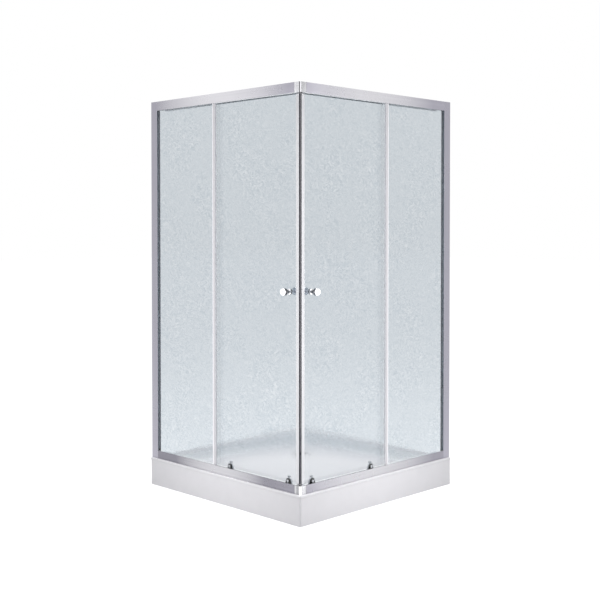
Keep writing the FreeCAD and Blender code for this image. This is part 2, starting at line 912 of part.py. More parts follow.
def corner_connectors():
    """The caps that join the two faces' rails: one open downwards at the top, one upwards below."""
    wall = cell("connector_wall")
    gap = cell("tongue_clearance")
    corner_connector(
        "top_corner_connector",
        top_rail_bottom,
        cell("top_rail_height"),
        top_rail_bottom,
        top_rail_bottom + wall,
        frame_top - rail_wall - gap,
    )
    corner_connector(
        "bottom_corner_connector",
        rim_top,
        cell("bottom_rail_height"),
        rim_top + wall,
        rim_top + rail_wall + gap,
        rim_top + cell("bottom_groove_height") - gap,
    )


def corner_edge(shape):
    """Name of the upright edge at the outermost corner, the longest edge nearest to it."""
    ranks = []
    for number, edge in enumerate(shape.Edges, start=1):
        size = edge.BoundBox
        ranks.append((round(size.XMax + size.YMax, 3), -edge.Length, f"Edge{number}"))
    return min(ranks)[2]


def wall_holes():
    """Heights of the screw holes in a wall channel."""
    middle = rim_top + cell("frame_height") / 2
    inner = cell("wall_inner_hole_spacing") / 2
    end_gap = cell("wall_hole_end_gap")
    return [rim_top + end_gap, middle - inner, middle + inner, frame_top - end_gap]


def side_screw_heights():
    """Heights of the screws that hold a side post to its wall channel."""
    end_gap = cell("side_screw_end_gap")
    return [rim_top + end_gap, rim_top + cell("frame_height") / 2, frame_top - end_gap]


def posts():
    """Wall channel, side post that slips over it, and the screws that hold the two."""
    wall = cell("channel_wall")
    clear = cell("channel_clearance")
    outer_v = frame_v + rail_wall + clear
    inner_v = post_inner_v - rail_wall - clear
    tip_u = wall_u - cell("channel_reach")
    channel = bar_along_z(
        "wall_channel_bar",
        [
            (tip_u, outer_v), (wall_u, outer_v), (wall_u, inner_v), (tip_u, inner_v),
            (tip_u, inner_v - wall), (wall_u - wall, inner_v - wall),
            (wall_u - wall, outer_v + wall), (tip_u, outer_v + wall),
        ],
        rim_top + cell("channel_end_gap"),
        cell("frame_height") - cell("channel_end_gap") * 2,
    )
    middle_v = (outer_v + inner_v) / 2
    holes = []
    deep = wall + over * 2
    for z in wall_holes():
        place = (wall_u - wall - over, middle_v, z)
        holes.append(rod("wall_hole", place, cell("wall_hole_radius"), deep, "x"))
    screw_u = wall_u - cell("side_screw_place")
    for z in side_screw_heights():
        place = (screw_u, inner_v - wall - over, z)
        holes.append(rod("side_hole", place, cell("screw_radius"), deep, "y"))
    both_sides("wall_channel", stand_in_face(cut("wall_channel", channel, holes)))

    web_u = post_u + cell("post_web_inset")
    w = rail_wall
    post = bar_along_z(
        "side_post_bar",
        [
            (post_u, frame_v), (wall_u, frame_v), (wall_u, frame_v + w), (web_u + w, frame_v + w),
            (web_u + w, post_inner_v - w), (wall_u, post_inner_v - w), (wall_u, post_inner_v),
            (post_u, post_inner_v), (post_u, post_inner_v - w), (web_u, post_inner_v - w),
            (web_u, frame_v + w), (post_u, frame_v + w),
        ],
        rim_top,
        cell("frame_height"),
    )
    bracket_u = post_u + cell("bracket_reach_post") / 2
    half_bracket = cell("bracket_height") / 2
    spots = [(screw_u, z) for z in side_screw_heights()]
    spots += [(bracket_u, frame_top - w - half_bracket), (bracket_u, rim_top + w + half_bracket)]
    screw_holes = []
    for u, z in spots:
        place = (u, post_inner_v - w - over, z)
        screw_holes.append(rod("post_hole", place, cell("screw_radius"), w + over * 2, "y"))
    both_sides("side_post", stand_in_face(cut("side_post", post, screw_holes)))
    return [side_screw(screw_u, z) for z in side_screw_heights()]


def side_screw(u, z):
    """A screw that holds a post to its wall channel, with its head inside the enclosure."""
    length = cell("side_screw_length")
    head = cell("screw_head_height")
    shank_start = (u, post_inner_v - length, z)
    shank = rod("side_screw_shank", shank_start, cell("screw_radius"), length, "y")
    cap = rod("side_screw_head", (u, post_inner_v, z), cell("screw_head_radius"), head, "y")
    return fuse("side_screw", [shank, cap])


def fixed_panels():
    """Fixed glass, the gasket round its edge, and the profile with its seal at the free edge."""
    gap = cell("glass_end_gap")
    glass_low = rim_top + rail_wall + gap
    glass_high = frame_top - rail_wall - gap
    edge = fixed_edge_u
    web_u = post_u + cell("post_web_inset")
    thick_v = fixed_v + glass
    panel = box("fixed_glass", (edge, fixed_v, glass_low), (web_u - gap, thick_v, glass_high))
    both_sides("fixed_glass", stand_in_face(group("fixed_glass_panel", [panel])))

    lip_u = post_u - cell("gasket_lip")
    inside = frame_v + rail_wall
    post_inside = post_inner_v - rail_wall
    proud = cell("gasket_proud")
    z_low = bottom_rail_top
    z_high = top_rail_bottom
    strips = [
        box("gasket_outer_lip", (lip_u, fixed_v - proud, z_low), (post_u, fixed_v, z_high)),
        box("gasket_outer", (post_u, inside, z_low), (web_u - gap, fixed_v, z_high)),
        box("gasket_inner_lip", (lip_u, thick_v, z_low), (post_u, thick_v + proud, z_high)),
        box("gasket_inner", (post_u, thick_v, z_low), (web_u - gap, post_inside, z_high)),
    ]
    outer = fuse("post_gasket_outer", strips[:2])
    inner = fuse("post_gasket_inner", strips[2:])
    strip_start = edge + cell("glass_end_gap")
    tall = cell("glazing_strip_height")
    glazing = []
    for name, low, high in (
        ("top", top_rail_bottom, top_rail_bottom + tall),
        ("bottom", bottom_rail_top - tall, bottom_rail_top),
    ):
        glazing.append(
            box(f"{name}_glazing", (strip_start, inside, low), (lip_u, fixed_v, high))
        )
    both_sides("glass_gaskets", stand_in_face(group("glass_gaskets", [outer, inner, *glazing])))

    wall = cell("end_profile_wall")
    nose = edge - gap
    tail = nose + cell("end_profile_width")
    out_v = fixed_v - wall
    in_v = thick_v + wall
    low = bottom_rail_top + cell("profile_end_gap")
    length = top_rail_bottom - cell("profile_end_gap") - low
    profile = bar_along_z(
        "end_profile",
        [
            (nose, out_v), (tail, out_v), (tail, fixed_v), (nose + wall, fixed_v),
            (nose + wall, thick_v), (tail, thick_v), (tail, in_v), (nose, in_v),
        ],
        low,
        length,
    )
    both_sides("end_profile", stand_in_face(profile))
    front = nose - cell("end_seal_width")
    lip = cell("end_seal_lip")
    seal = bar_along_z(
        "end_seal",
        [
            (front, out_v + lip / 2), (nose, out_v + lip / 2), (nose, in_v - lip / 2),
            (front + lip, in_v - lip / 2), (front + lip, door_v - cell("end_seal_gap")),
            (front, door_v - cell("end_seal_gap")),
        ],
        low,
        length,
    )
    both_sides("end_seal", stand_in_face(seal))


# ---- doors ----------------------------------------------------------------------------


def door_glass():
    """The sliding pane, drilled for its knob, hangers and lower rollers."""
    pane = box(
        "door_pane",
        (cell("door_glass_start"), door_v, door_glass_bottom),
        (door_glass_end, door_inner_v, door_glass_top),
    )
    drill = cell("bolt_hole_gap")
    spots = [(cell("knob_place"), cell("knob_height"), cell("knob_stud_radius") + drill)]
    for place in roller_places.values():
        spots.append((place, top_wheel_z, cell("axle_radius") + drill))
        spots.append((place, pillar_z, cell("pillar_radius") + drill))
    holes = []
    for u, z, radius in spots:
        holes.append(rod("door_hole", (u, door_v - over, z), radius, glass + over * 2, "y"))
    both_sides("door_glass", stand_in_face(cut("door_glass", pane, holes)))


def door_strips():
    """Leading profile with its magnet cut to the mitre, and the trailing seal."""
    start = cell("lead_profile_start")
    wall = cell("lead_profile_wall")
    end = start + cell("lead_profile_width")
    glass_start = cell("door_glass_start")
    out_v = door_v - wall
    in_v = door_inner_v + wall
    low = door_strip_bottom
    length = door_strip_top - low
    # the profile's own nose is cut back so that it stays behind the mitre
    lead = bar_along_z(
        "lead_profile",
        [
            (start, out_v), (end, out_v), (end, door_v), (glass_start, door_v),
            (glass_start, door_inner_v), (end, door_inner_v), (end, in_v),
            (in_v + cell("magnet_gap"), in_v), (start, start - cell("magnet_gap")),
        ],
        low,
        length,
    )
    both_sides("lead_profile", stand_in_face(lead))
    magnet = bar_along_z(
        "door_magnet",
        [(out_v + cell("magnet_gap"), out_v), (start, out_v), (start, start - cell("magnet_gap"))],
        low,
        length,
    )
    both_sides("door_magnet", stand_in_face(magnet))

    wall = cell("rear_seal_wall")
    tail = door_glass_end + cell("rear_seal_reach")
    nose = tail - cell("rear_seal_width")
    seal = bar_along_z(
        "rear_seal",
        [
            (nose, door_v - wall), (tail, door_v - wall), (tail, door_inner_v + wall),
            (nose, door_inner_v + wall), (nose, door_inner_v), (door_glass_end, door_inner_v),
            (door_glass_end, door_v), (nose, door_v),
        ],
        low,
        length,
    )
    both_sides("rear_seal", stand_in_face(seal))


def knobs():
    """A round knob each side of the glass, on one stud, with soft washers at the glass."""
    u = cell("knob_place")
    z = cell("knob_height")
    washer = cell("knob_washer_thickness")
    reach = cell("knob_projection") - washer
    head = cell("knob_head_radius")
    head_base = reach - cell("knob_head_length")
    neck = cell("knob_neck_radius")
    base = cell("knob_base_radius")
    base_high = cell("knob_base_height")
    rounding = cell("knob_head_round")
    stud = cell("knob_stud_radius")
    bite = cell("knob_stud_bite")
    outline = [
        (stud, 0.0), (base, 0.0), (base, base_high), (neck, base_high + rounding),
        (neck, head_base), (head - rounding, head_base), (head, head_base + rounding),
        (head, reach - rounding), (head - rounding, reach), (0.0, reach), (0.0, bite), (stud, bite),
    ]
    for name, v, outward in (
        ("knob_outer", door_v - washer, True),
        ("knob_inner", door_inner_v + washer, False),
    ):
        both_sides(name, at(u, v, z, turned(name, outline), outward))
    rod_v = door_v - washer - bite
    through = rod("knob_stud", (u, rod_v, z), stud, glass + washer * 2 + bite * 2, "y")
    both_sides("knob_stud", stand_in_face(group("knob_stud_rod", [through])))
    rings = []
    for v in (door_v - washer, door_inner_v):
        disc = rod("knob_washer_disc", (u, v, z), base, washer, "y")
        hole = rod("knob_washer_hole", (u, v - over, z), stud, washer + over * 2, "y")
        rings.append(cut("knob_washer", disc, [hole]))
    both_sides("knob_washers", stand_in_face(group("knob_washers", rings)))


def grooved_wheel(name, radius, width, bore):
    """A wheel with a groove that fits over the rail's bead."""
    groove = rail_wall / 2 + cell("wheel_groove_side_gap")
    deep = radius - cell("wheel_groove_depth")
    middle = width / 2
    slope = cell("wheel_groove_slope")
    return turned(
        name,
        [
            (bore, 0.0), (radius, 0.0), (radius, middle - groove - slope),
            (deep, middle - groove), (deep, middle + groove),
            (radius, middle + groove + slope), (radius, width), (bore, width),
        ],
    )


def top_rollers():
    """Hangers: a shoulder bolt through the glass, its round nut, and the wheel it carries."""
    axle = cell("axle_radius")
    width = cell("top_wheel_width")
    side = cell("roller_side_gap")
    wheel_v = bead_middle_v - width / 2
    shoulder = wheel_v - side - door_inner_v
    nut = cell("axle_nut_thickness")
    head = cell("axle_head_thickness")
    journal_end = shoulder + side + width + side
    parts = []
    for place in roller_places.values():
        bolt = turned(
            "hanger_bolt",
            [
                (0.0, -glass - nut), (axle, -glass - nut), (axle, 0.0),
                (cell("shoulder_radius"), 0.0), (cell("shoulder_radius"), shoulder),
                (axle, shoulder), (axle, journal_end), (cell("axle_head_radius"), journal_end),
                (cell("axle_head_radius"), journal_end + head), (0.0, journal_end + head),
            ],
        )
        ring = turned(
            "hanger_nut",
            [
                (axle, -glass - nut), (cell("axle_nut_radius"), -glass - nut),
                (cell("axle_nut_radius"), -glass), (axle, -glass),
            ],
        )
        parts.append(at(place, door_inner_v, top_wheel_z, bolt))
        parts.append(at(place, door_inner_v, top_wheel_z, ring))
    both_sides("hanger_bolts", group("hanger_bolts", parts))
    for end, place in roller_places.items():
        wheel = grooved_wheel(
            f"top_{end}_wheel", cell("top_wheel_radius"), width, axle + cell("axle_running_gap")
        )
        both_sides(f"top_{end}_wheel", at(place, wheel_v, top_wheel_z, wheel))


def roller_body(end, u, slot_v, slot_end_v, front_v):
    """A tapered block on the glass with a slot for its slider, on a pillar through the glass."""
    low = roller_body_bottom
    high = roller_body_top
    half = cell("roller_body_width") / 2
    half_top = cell("roller_body_top_width") / 2
    half_slot = cell("slider_width") / 2 + cell("slider_gap")
    cap = cell("body_cap_thickness")
    block = doc.addObject("PartDesign::Body", f"roller_body_{end}")
    front = sketch(block, "XZ_Plane", f"roller_body_{end}_front", -front_v)
    polygon(front, [(u - half, low), (u + half, low), (u + half_top, high), (u - half_top, high)])
    pad(block, front, cell("roller_body_depth"))
    slot_low = (u - half_slot, slot_v, low - over)
    slot_high = (u + half_slot, slot_end_v, high + over)
    hollow = cut("roller_body_slotted", block, [box("slider_slot", slot_low, slot_high)])
    back_v = door_v - cap
    pillar = rod("roller_pillar", (u, back_v, pillar_z), cell("pillar_radius"), front_v - back_v, "y")
    button = rod("roller_cap", (u, back_v, pillar_z), cell("body_cap_radius"), cap, "y")
    return fuse("roller_body", [hollow, pillar, button])


def release_slider(u, slot_v, slider_v, wheel_end_v):
    """A slider with a window round the pillar, its push button above and the wheel's pin below."""
    thick = cell("slider_thickness")
    travel = cell("release_travel")
    gap = cell("slider_gap")
    half = cell("slider_width") / 2
    button_half = cell("button_width") / 2
    window_half = cell("pillar_radius") + gap
    pin_radius = cell("slider_pin_radius")
    top = roller_body_top + travel + cell("roller_side_gap")
    bottom = bottom_wheel_z - cell("slider_foot")
    plate = box("slider_plate", (u - half, slider_v, bottom), (u + half, slider_v + thick, top))
    window = box(
        "slider_window",
        (u - window_half, slider_v - over, pillar_z - window_half),
        (u + window_half, slider_v + thick + over, pillar_z + window_half + travel),
    )
    button = box(
        "release_button",
        (u - button_half, slot_v, top),
        (u + button_half, slot_v + cell("button_depth"), top + cell("button_height")),
    )
    clip_thick = cell("slider_clip_thickness")
    pin_length = wheel_end_v + clip_thick * 2 - slider_v
    pin = rod("slider_pin", (u, slider_v, bottom_wheel_z), pin_radius, pin_length, "y")
    clip_place = (u, wheel_end_v, bottom_wheel_z)
    clip = rod("slider_clip", clip_place, cell("slider_clip_radius"), clip_thick, "y")
    return cut("release_slider", fuse("slider_whole", [plate, button, pin, clip]), [window])


def lower_rollers():
    """Quick-release rollers: a body on the glass, a sprung slider with its button, a wheel."""
    width = cell("bottom_wheel_width")
    wheel_v = bead_middle_v - width / 2
    wheel_end_v = wheel_v + width + cell("roller_side_gap")
    front_v = door_inner_v + cell("roller_body_depth")
    slot_v = door_inner_v + cell("roller_body_back")
    slot_end_v = front_v - cell("roller_body_cover")
    slider_v = (slot_v + slot_end_v - cell("slider_thickness")) / 2
    bore = cell("slider_pin_radius") + cell("axle_running_gap")
    bodies = []
    for end, u in roller_places.items():
        bodies.append(roller_body(end, u, slot_v, slot_end_v, front_v))
        slider = release_slider(u, slot_v, slider_v, wheel_end_v)
        both_sides(f"{end}_release", stand_in_face(slider))
        name = f"bottom_{end}_wheel"
        wheel = grooved_wheel(name, cell("bottom_wheel_radius"), width, bore)
        both_sides(name, at(u, wheel_v, bottom_wheel_z, wheel))
    both_sides("roller_bodies", stand_in_face(group("roller_bodies", bodies)))


def track_stops():
    """Rubber stops on the top rail's ledge, one past each end of the wheels' travel."""
    gap = cell("stop_gap")
    radius = cell("top_wheel_radius")
    length = cell("stop_length")
    low_v = bead_v + rail_wall + gap
    high_v = rail_inner_v - rail_wall
    bottom = top_rail_bottom + cell("top_ledge_drop") + rail_wall
    closed = front_roller_u - radius - gap - length
    opened = rear_roller_u + cell("door_travel") + radius + gap
    top = top_wheel_z + radius / 2
    blocks = []
    for start in (closed, opened):
        blocks.append(box("stop", (start, low_v, bottom), (start + length, high_v, top)))
    both_in_one("track_stops", blocks)


tray_shell()
tray_supports()
waste()
post_screws = posts()
bracket_screws = rail_brackets()
both_in_one("frame_screws", post_screws + bracket_screws)
rails()
corner_connectors()
fixed_panels()
door_glass()
door_strips()
knobs()
top_rollers()
lower_rollers()
track_stops()

doc.recompute()

failed = [thing.Label for thing in doc.Objects if "Invalid" in thing.State or "Error" in thing.State]
if failed:
    raise RuntimeError(f"these objects failed: {failed}")
for name, thing in nodes.items():
    if thing.Shape.isNull() or not thing.Shape.isValid() or not thing.Shape.Solids:
        raise RuntimeError(f"{name} has no valid solid")

os.makedirs("parts", exist_ok=True)
for name, thing in nodes.items():
    thing.Shape.exportStep(f"parts/{name}.step")
print(len(nodes), "nodes written")
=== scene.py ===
import math

import bmesh
import bpy
import numpy as np
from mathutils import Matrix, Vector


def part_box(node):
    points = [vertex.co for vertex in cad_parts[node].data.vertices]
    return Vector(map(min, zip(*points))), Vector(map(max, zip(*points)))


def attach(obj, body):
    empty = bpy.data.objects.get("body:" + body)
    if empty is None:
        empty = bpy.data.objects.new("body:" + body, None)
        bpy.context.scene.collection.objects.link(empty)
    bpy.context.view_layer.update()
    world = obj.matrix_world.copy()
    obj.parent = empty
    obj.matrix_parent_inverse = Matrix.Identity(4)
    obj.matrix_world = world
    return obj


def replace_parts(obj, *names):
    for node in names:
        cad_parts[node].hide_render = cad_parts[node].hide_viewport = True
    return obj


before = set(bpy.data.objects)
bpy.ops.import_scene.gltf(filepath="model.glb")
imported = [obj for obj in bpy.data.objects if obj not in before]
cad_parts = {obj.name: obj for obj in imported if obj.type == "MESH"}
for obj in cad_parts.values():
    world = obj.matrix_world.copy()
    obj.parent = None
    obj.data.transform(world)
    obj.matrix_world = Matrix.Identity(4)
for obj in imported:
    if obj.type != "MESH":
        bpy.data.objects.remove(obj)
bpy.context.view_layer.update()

bl_info = {
    "name": "Corner Shower Enclosure",
    "version": (1, 0, 0),
    "blender": (4, 5, 0),
    "location": "View3D > Sidebar > Shower",
    "description": "Dresses a square corner-entry shower enclosure with its tray, frame and doors",
    "category": "Object",
}

HALF_SIDE = (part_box("tray_shell")[1][0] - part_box("tray_shell")[0][0]) / 2
RIM_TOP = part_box("tray_shell")[1][2]
SIDES = ("left", "right")
ENDS = ("front", "rear")
LEVELS = ("top", "bottom")
WALL = 0.0016  # walls of the drawn bars
GROOVE = 0.0128  # the rails' groove for the fixed glass


# ---- what a user may change ----


class ShowerSizes(bpy.types.PropertyGroup):
    """Sizes of the soft edges and surfaces, in metres."""

    extrusion_round: bpy.props.FloatProperty(
        name="Extrusion Edge Round", description="Round on the long edges of the aluminium bars",
        default=0.0006, min=0, unit="LENGTH")
    strip_round: bpy.props.FloatProperty(
        name="Strip Edge Round", description="Round on the edges of the plastic strips",
        default=0.0008, min=0, unit="LENGTH")
    moulding_round: bpy.props.FloatProperty(
        name="Moulding Edge Round", description="Round on the edges of the corner mouldings",
        default=0.0012, min=0, unit="LENGTH")
    basin_edge: bpy.props.FloatProperty(
        name="Basin Edge Round", description="Round between the tray's rim and the basin wall",
        default=0.007, min=0.001, unit="LENGTH")
    basin_cove: bpy.props.FloatProperty(
        name="Basin Cove", description="Round between the basin wall and its floor",
        default=0.012, min=0.001, unit="LENGTH")
    floor_fall: bpy.props.FloatProperty(
        name="Floor Fall", description="How much higher the basin floor is at its edge",
        default=0.0012, min=0, unit="LENGTH")
    relief_pitch: bpy.props.FloatProperty(
        name="Glass Relief Pitch", description="Spacing of the ripples pressed into the glass",
        default=0.0115, min=0.001, unit="LENGTH")
    relief_depth: bpy.props.FloatProperty(
        name="Glass Relief Depth", description="Depth of the ripples pressed into the glass",
        default=0.0012, min=0, unit="LENGTH")


class ShowerColours(bpy.types.PropertyGroup):
    """Colours of the finishes."""

    acrylic: bpy.props.FloatVectorProperty(
        name="Tray", description="Gloss white pressed acrylic",
        default=(0.80, 0.79, 0.82), size=3, min=0, max=1, subtype="COLOR")
    anodised: bpy.props.FloatVectorProperty(
        name="Frame", description="Satin anodised aluminium",
        default=(0.42, 0.41, 0.47), size=3, min=0, max=1, subtype="COLOR")
    bright: bpy.props.FloatVectorProperty(
        name="Bright Trim", description="Plated mouldings over the corner joints",
        default=(0.56, 0.56, 0.62), size=3, min=0, max=1, subtype="COLOR")
    glass: bpy.props.FloatVectorProperty(
        name="Glass", description="Tint of the textured glass",
        default=(0.495, 0.549, 0.594), size=3, min=0, max=1, subtype="COLOR")
    white_strip: bpy.props.FloatVectorProperty(
        name="White Strip", description="White plastic profile at the door's edge",
        default=(0.83, 0.83, 0.86), size=3, min=0, max=1, subtype="COLOR")
    dark_strip: bpy.props.FloatVectorProperty(
        name="Magnet Strip", description="Dark flexible magnet between the doors",
        default=(0.018, 0.016, 0.03), size=3, min=0, max=1, subtype="COLOR")
    rubber: bpy.props.FloatVectorProperty(
        name="Gasket", description="Blue-grey rubber round the fixed glass",
        default=(0.24, 0.28, 0.31), size=3, min=0, max=1, subtype="COLOR")
    roller: bpy.props.FloatVectorProperty(
        name="Roller Body", description="Grey plastic of the lower rollers",
        default=(0.66, 0.68, 0.72), size=3, min=0, max=1, subtype="COLOR")


def sizes():
    return bpy.context.scene.shower_sizes


def colours():
    return bpy.context.scene.shower_colours


# ---- surfaces ----


def rounded(outline, radius, steps=3):
    """A closed outline with each corner p turned into a small arc: the quadratic curve
    (1-s)^2 a + 2 s (1-s) p + s^2 b between points a and b that lie one radius before and after it,
    or at 0.4 of the shorter side where that is less."""
    p = np.array(outline, float)
    before = p - np.roll(p, 1, 0)
    after = np.roll(p, -1, 0) - p
    len_before = np.linalg.norm(before, axis=1, keepdims=True)
    len_after = np.linalg.norm(after, axis=1, keepdims=True)
    reach = np.minimum(np.reshape(radius, (-1, 1)), 0.4 * np.minimum(len_before, len_after))
    a = (p - before / len_before * reach)[:, None]
    b = (p + after / len_after * reach)[:, None]
    s = np.linspace(0, 1, steps + 1)[None, :, None]
    curve = (1 - s) ** 2 * a + 2 * s * (1 - s) * p[:, None] + s ** 2 * b
    return curve.reshape(-1, 2)


def grid_faces(rows, columns, wrap_rows=False, wrap_columns=True):
    """Quads between neighbouring points of a grid, row by row."""
    row = np.arange(rows if wrap_rows else rows - 1)
    column = np.arange(columns if wrap_columns else columns - 1)
    r, c = np.meshgrid(row, column, indexing="ij")
    r2 = (r + 1) % rows
    c2 = (c + 1) % columns
    quads = np.stack([r * columns + c, r * columns + c2, r2 * columns + c2, r2 * columns + c], -1)
    return quads.reshape(-1, 4)


def oblong(x0, y0, x1, y1):
    """The outline of a rectangle between two opposite corners."""
    return [(x0, y0), (x1, y0), (x1, y1), (x0, y1)]


def build(name, parts, slot, body="enclosure", finish=None, closed=True, smooth_angle=38):
    """One mesh object from (points, faces) parts: doubles merged, normals outward, edges sharper
    than the angle kept sharp, and the object at the origin riding on its body. It wears the
    slot's own finish unless another is named."""
    points, faces, start = [], [], 0
    for some, around in parts:
        points.append(np.reshape(some, (-1, 3)))
        faces += [[start + i for i in face] for face in around]
        start += len(points[-1])
    mesh = bpy.data.meshes.new(name)
    mesh.from_pydata(np.concatenate(points), [], faces)
    work = bmesh.new()
    work.from_mesh(mesh)
    bmesh.ops.remove_doubles(work, verts=work.verts, dist=1e-6)
    if closed:
        bmesh.ops.recalc_face_normals(work, faces=work.faces)
    work.to_mesh(mesh)
    work.free()
    mesh.shade_smooth()
    mesh.set_sharp_from_angle(angle=math.radians(smooth_angle))
    piece = bpy.data.objects.new(name, mesh)
    bpy.context.scene.collection.objects.link(piece)
    weights = piece.modifiers.new("Face weights", "WEIGHTED_NORMAL")
    weights.keep_sharp = True
    mesh.materials.append(finish_of(finish or slot))
    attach(piece, body)
    return piece


def tube(grid):
    """A closed tube from a grid of stations by outline points, with a flat cap at each end."""
    stations, count = grid.shape[:2]
    faces = grid_faces(stations, count).tolist()
    last = (stations - 1) * count
    faces.append(list(range(count))[::-1])
    faces.append(list(range(last, last + count)))
    return grid, faces


def turned(profile, centre, axis, segments=64):
    """A solid turned about an axis: point = centre + d*axis + r*(cos a, sin a) across the axis,
    for each (r, d) of the profile and each angle a. A radius of 0 closes a pole."""
    r, d = np.array(profile, float).T
    axis = np.array(axis, float)
    across = np.array((0.0, 0.0, 1.0)) if abs(axis[2]) < 0.5 else np.array((1.0, 0.0, 0.0))
    side = np.cross(axis, across)
    a = np.linspace(0, 2 * math.pi, segments, endpoint=False)
    ring = np.cos(a)[:, None] * across + np.sin(a)[:, None] * side
    grid = np.array(centre) + d[None, :, None] * axis + r[None, :, None] * ring[:, None, :]
    closed = abs(r[0]) < 1e-9 and abs(r[-1]) < 1e-9
    faces = grid_faces(segments, len(r), wrap_rows=True, wrap_columns=not closed)
    return grid, faces.tolist()


def in_face(side, u, v, z):
    """Points of a face's own frame in the room: u runs from the front corner along the face,
    v inwards from the tray's edge, z up."""
    u, v, z = np.broadcast_arrays(u, v, z)
    if side == "right":
        return np.stack([HALF_SIDE - v, u - HALF_SIDE, z], -1)
    return np.stack([HALF_SIDE - u, v - HALF_SIDE, z], -1)


def inward(side):
    return (-1.0, 0.0, 0.0) if side == "right" else (0.0, 1.0, 0.0)


def face_box(node):
    """Lowest and highest u, v, z of a node in its own face's frame."""
    low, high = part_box(node)
    if node.startswith("right"):
        return ((low[1] + HALF_SIDE, HALF_SIDE - high[0], low[2]),
                (high[1] + HALF_SIDE, HALF_SIDE - low[0], high[2]))
    return ((HALF_SIDE - high[0], low[1] + HALF_SIDE, low[2]),
            (HALF_SIDE - low[0], high[1] + HALF_SIDE, high[2]))


def upright_bar(side, outline, low, high, radius):
    """A section in u and v carried straight up from one height to another."""
    loop = rounded(outline, radius)
    return tube(in_face(side, *loop.T, np.array((low, high))[:, None]))


def stand(side, name, node, outline, radius, slot, body="enclosure"):
    """An upright bar, as high as the node whose place it takes."""
    (_, _, low), (_, _, high) = face_box(node)
    part = upright_bar(side, outline, low, high, radius)
    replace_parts(build(f"{side}_{name}", [part], slot, body), node)


def level_bar(side, outline, start, end, radius, mitred=False):
    """A section in v and z carried along u. A mitred bar starts where u equals v."""
    loop = rounded(outline, radius)
    first = np.maximum(start, loop[:, 0]) if mitred else np.full(len(loop), start)
    u = np.stack([first, np.full(len(loop), end)])
    return tube(in_face(side, u, *loop.T))


def rounded_square_ring(half, radius, fractions, corner_steps=9):
    """Points round a square: straight sides sampled at the fractions, corners as quarter arcs."""
    reach = half - radius
    sides = np.stack([np.full(len(fractions), half), fractions * reach], -1)
    a = np.linspace(0, math.pi / 2, corner_steps + 2)[1:-1]
    corner = reach + radius * np.stack([np.cos(a), np.sin(a)], -1)
    quarter = np.concatenate([sides, corner])
    turn = np.array(((0.0, 1.0), (-1.0, 0.0)))
    rings = [quarter]
    for _ in range(3):
        rings.append(rings[-1] @ turn)
    return np.concatenate(rings)


# ---- finishes ----


def add(tree, kind, inputs=None, **settings):
    """A node with its settings; each input, by name or number, is given a value or a socket."""
    node = tree.nodes.new(kind)
    for key, value in settings.items():
        setattr(node, key, value)
    for key, value in (inputs or {}).items():
        if isinstance(value, bpy.types.NodeSocket):
            tree.links.new(value, node.inputs[key])
        else:
            node.inputs[key].default_value = value
    return node


def math_node(tree, operation, first, second, clamp=False):
    """What a Math node gives for two operands, each a socket or a number."""
    operands = {0: first, 1: second}
    return add(tree, "ShaderNodeMath", operands, operation=operation, use_clamp=clamp).outputs[0]


def vector_math(tree, operation, *operands):
    """What a Vector Math node gives for its operands, each a socket or three numbers."""
    inputs = dict(enumerate(operands))
    return add(tree, "ShaderNodeVectorMath", inputs, operation=operation).outputs[0]


def noise(tree, vector, scale, detail=3.0, roughness=0.5, distortion=0.0, output="Fac"):
    inputs = {"Vector": vector, "Scale": scale, "Detail": detail, "Roughness": roughness,
              "Distortion": distortion}
    return add(tree, "ShaderNodeTexNoise", inputs).outputs[output]


def stretch(tree, value, low, high, new_low=0.0, new_high=1.0, **settings):
    """The value mapped from low..high to a new range, and held at that range's ends."""
    inputs = {"Value": value, "From Min": low, "From Max": high,
              "To Min": new_low, "To Max": new_high}
    return add(tree, "ShaderNodeMapRange", inputs, **settings).outputs["Result"]


def between(tree, mask, low, high):
    """A value that goes from low to high as the mask goes from 0 to 1."""
    return stretch(tree, mask, 0.0, 1.0, low, high)


def weighted(tree, first, share, second):
    """This share of the first value and the rest of the second."""
    return math_node(tree, "ADD", math_node(tree, "MULTIPLY", first, share),
                     math_node(tree, "MULTIPLY", second, 1.0 - share))


def axes(tree, vector):
    """The x, y and z of a vector."""
    return add(tree, "ShaderNodeSeparateXYZ", {0: vector}).outputs


def blend(tree, factor, first, second, how="MIX"):
    """Two colours mixed, each a socket or three numbers."""
    inputs = {0: factor}
    for place, colour in ((6, first), (7, second)):
        inputs[place] = colour if isinstance(colour, bpy.types.NodeSocket) else (*colour, 1.0)
    return add(tree, "ShaderNodeMix", inputs, data_type="RGBA", blend_type=how).outputs[2]


def tinted(tree, colour, mask, amount, towards=(0.0, 0.0, 0.0)):
    """The colour, mixed by this amount towards another where the mask is high."""
    return blend(tree, mask, colour, [c + (t - c) * amount for c, t in zip(colour, towards)])


def forward_of(tree, x, y, along=None):
    """How far forward a place lies, towards the face of a rail along x or y or the nearer face."""
    if along == "y":
        return x
    left = math_node(tree, "MULTIPLY", y, -1.0)
    return left if along == "x" else math_node(tree, "MAXIMUM", x, left)


def bump(tree, height, distance, strength):
    inputs = {"Height": height, "Distance": distance, "Strength": strength}
    return add(tree, "ShaderNodeBump", inputs).outputs[0]


def shader_group(name, outputs, **inputs):
    """A node group with a Vector input, more inputs by their defaults, and value outputs."""
    group = bpy.data.node_groups.new(name, "ShaderNodeTree")
    for label, default in {"Vector": (0.0, 0.0, 0.0), **inputs}.items():
        kind = "NodeSocketVector" if isinstance(default, tuple) else "NodeSocketFloat"
        socket = group.interface.new_socket(name=label, in_out="INPUT", socket_type=kind)
        socket.default_value = default
    for label in outputs:
        group.interface.new_socket(name=label, in_out="OUTPUT", socket_type="NodeSocketFloat")
    given = group.nodes.new("NodeGroupInput").outputs
    return group, given, group.nodes.new("NodeGroupOutput").inputs


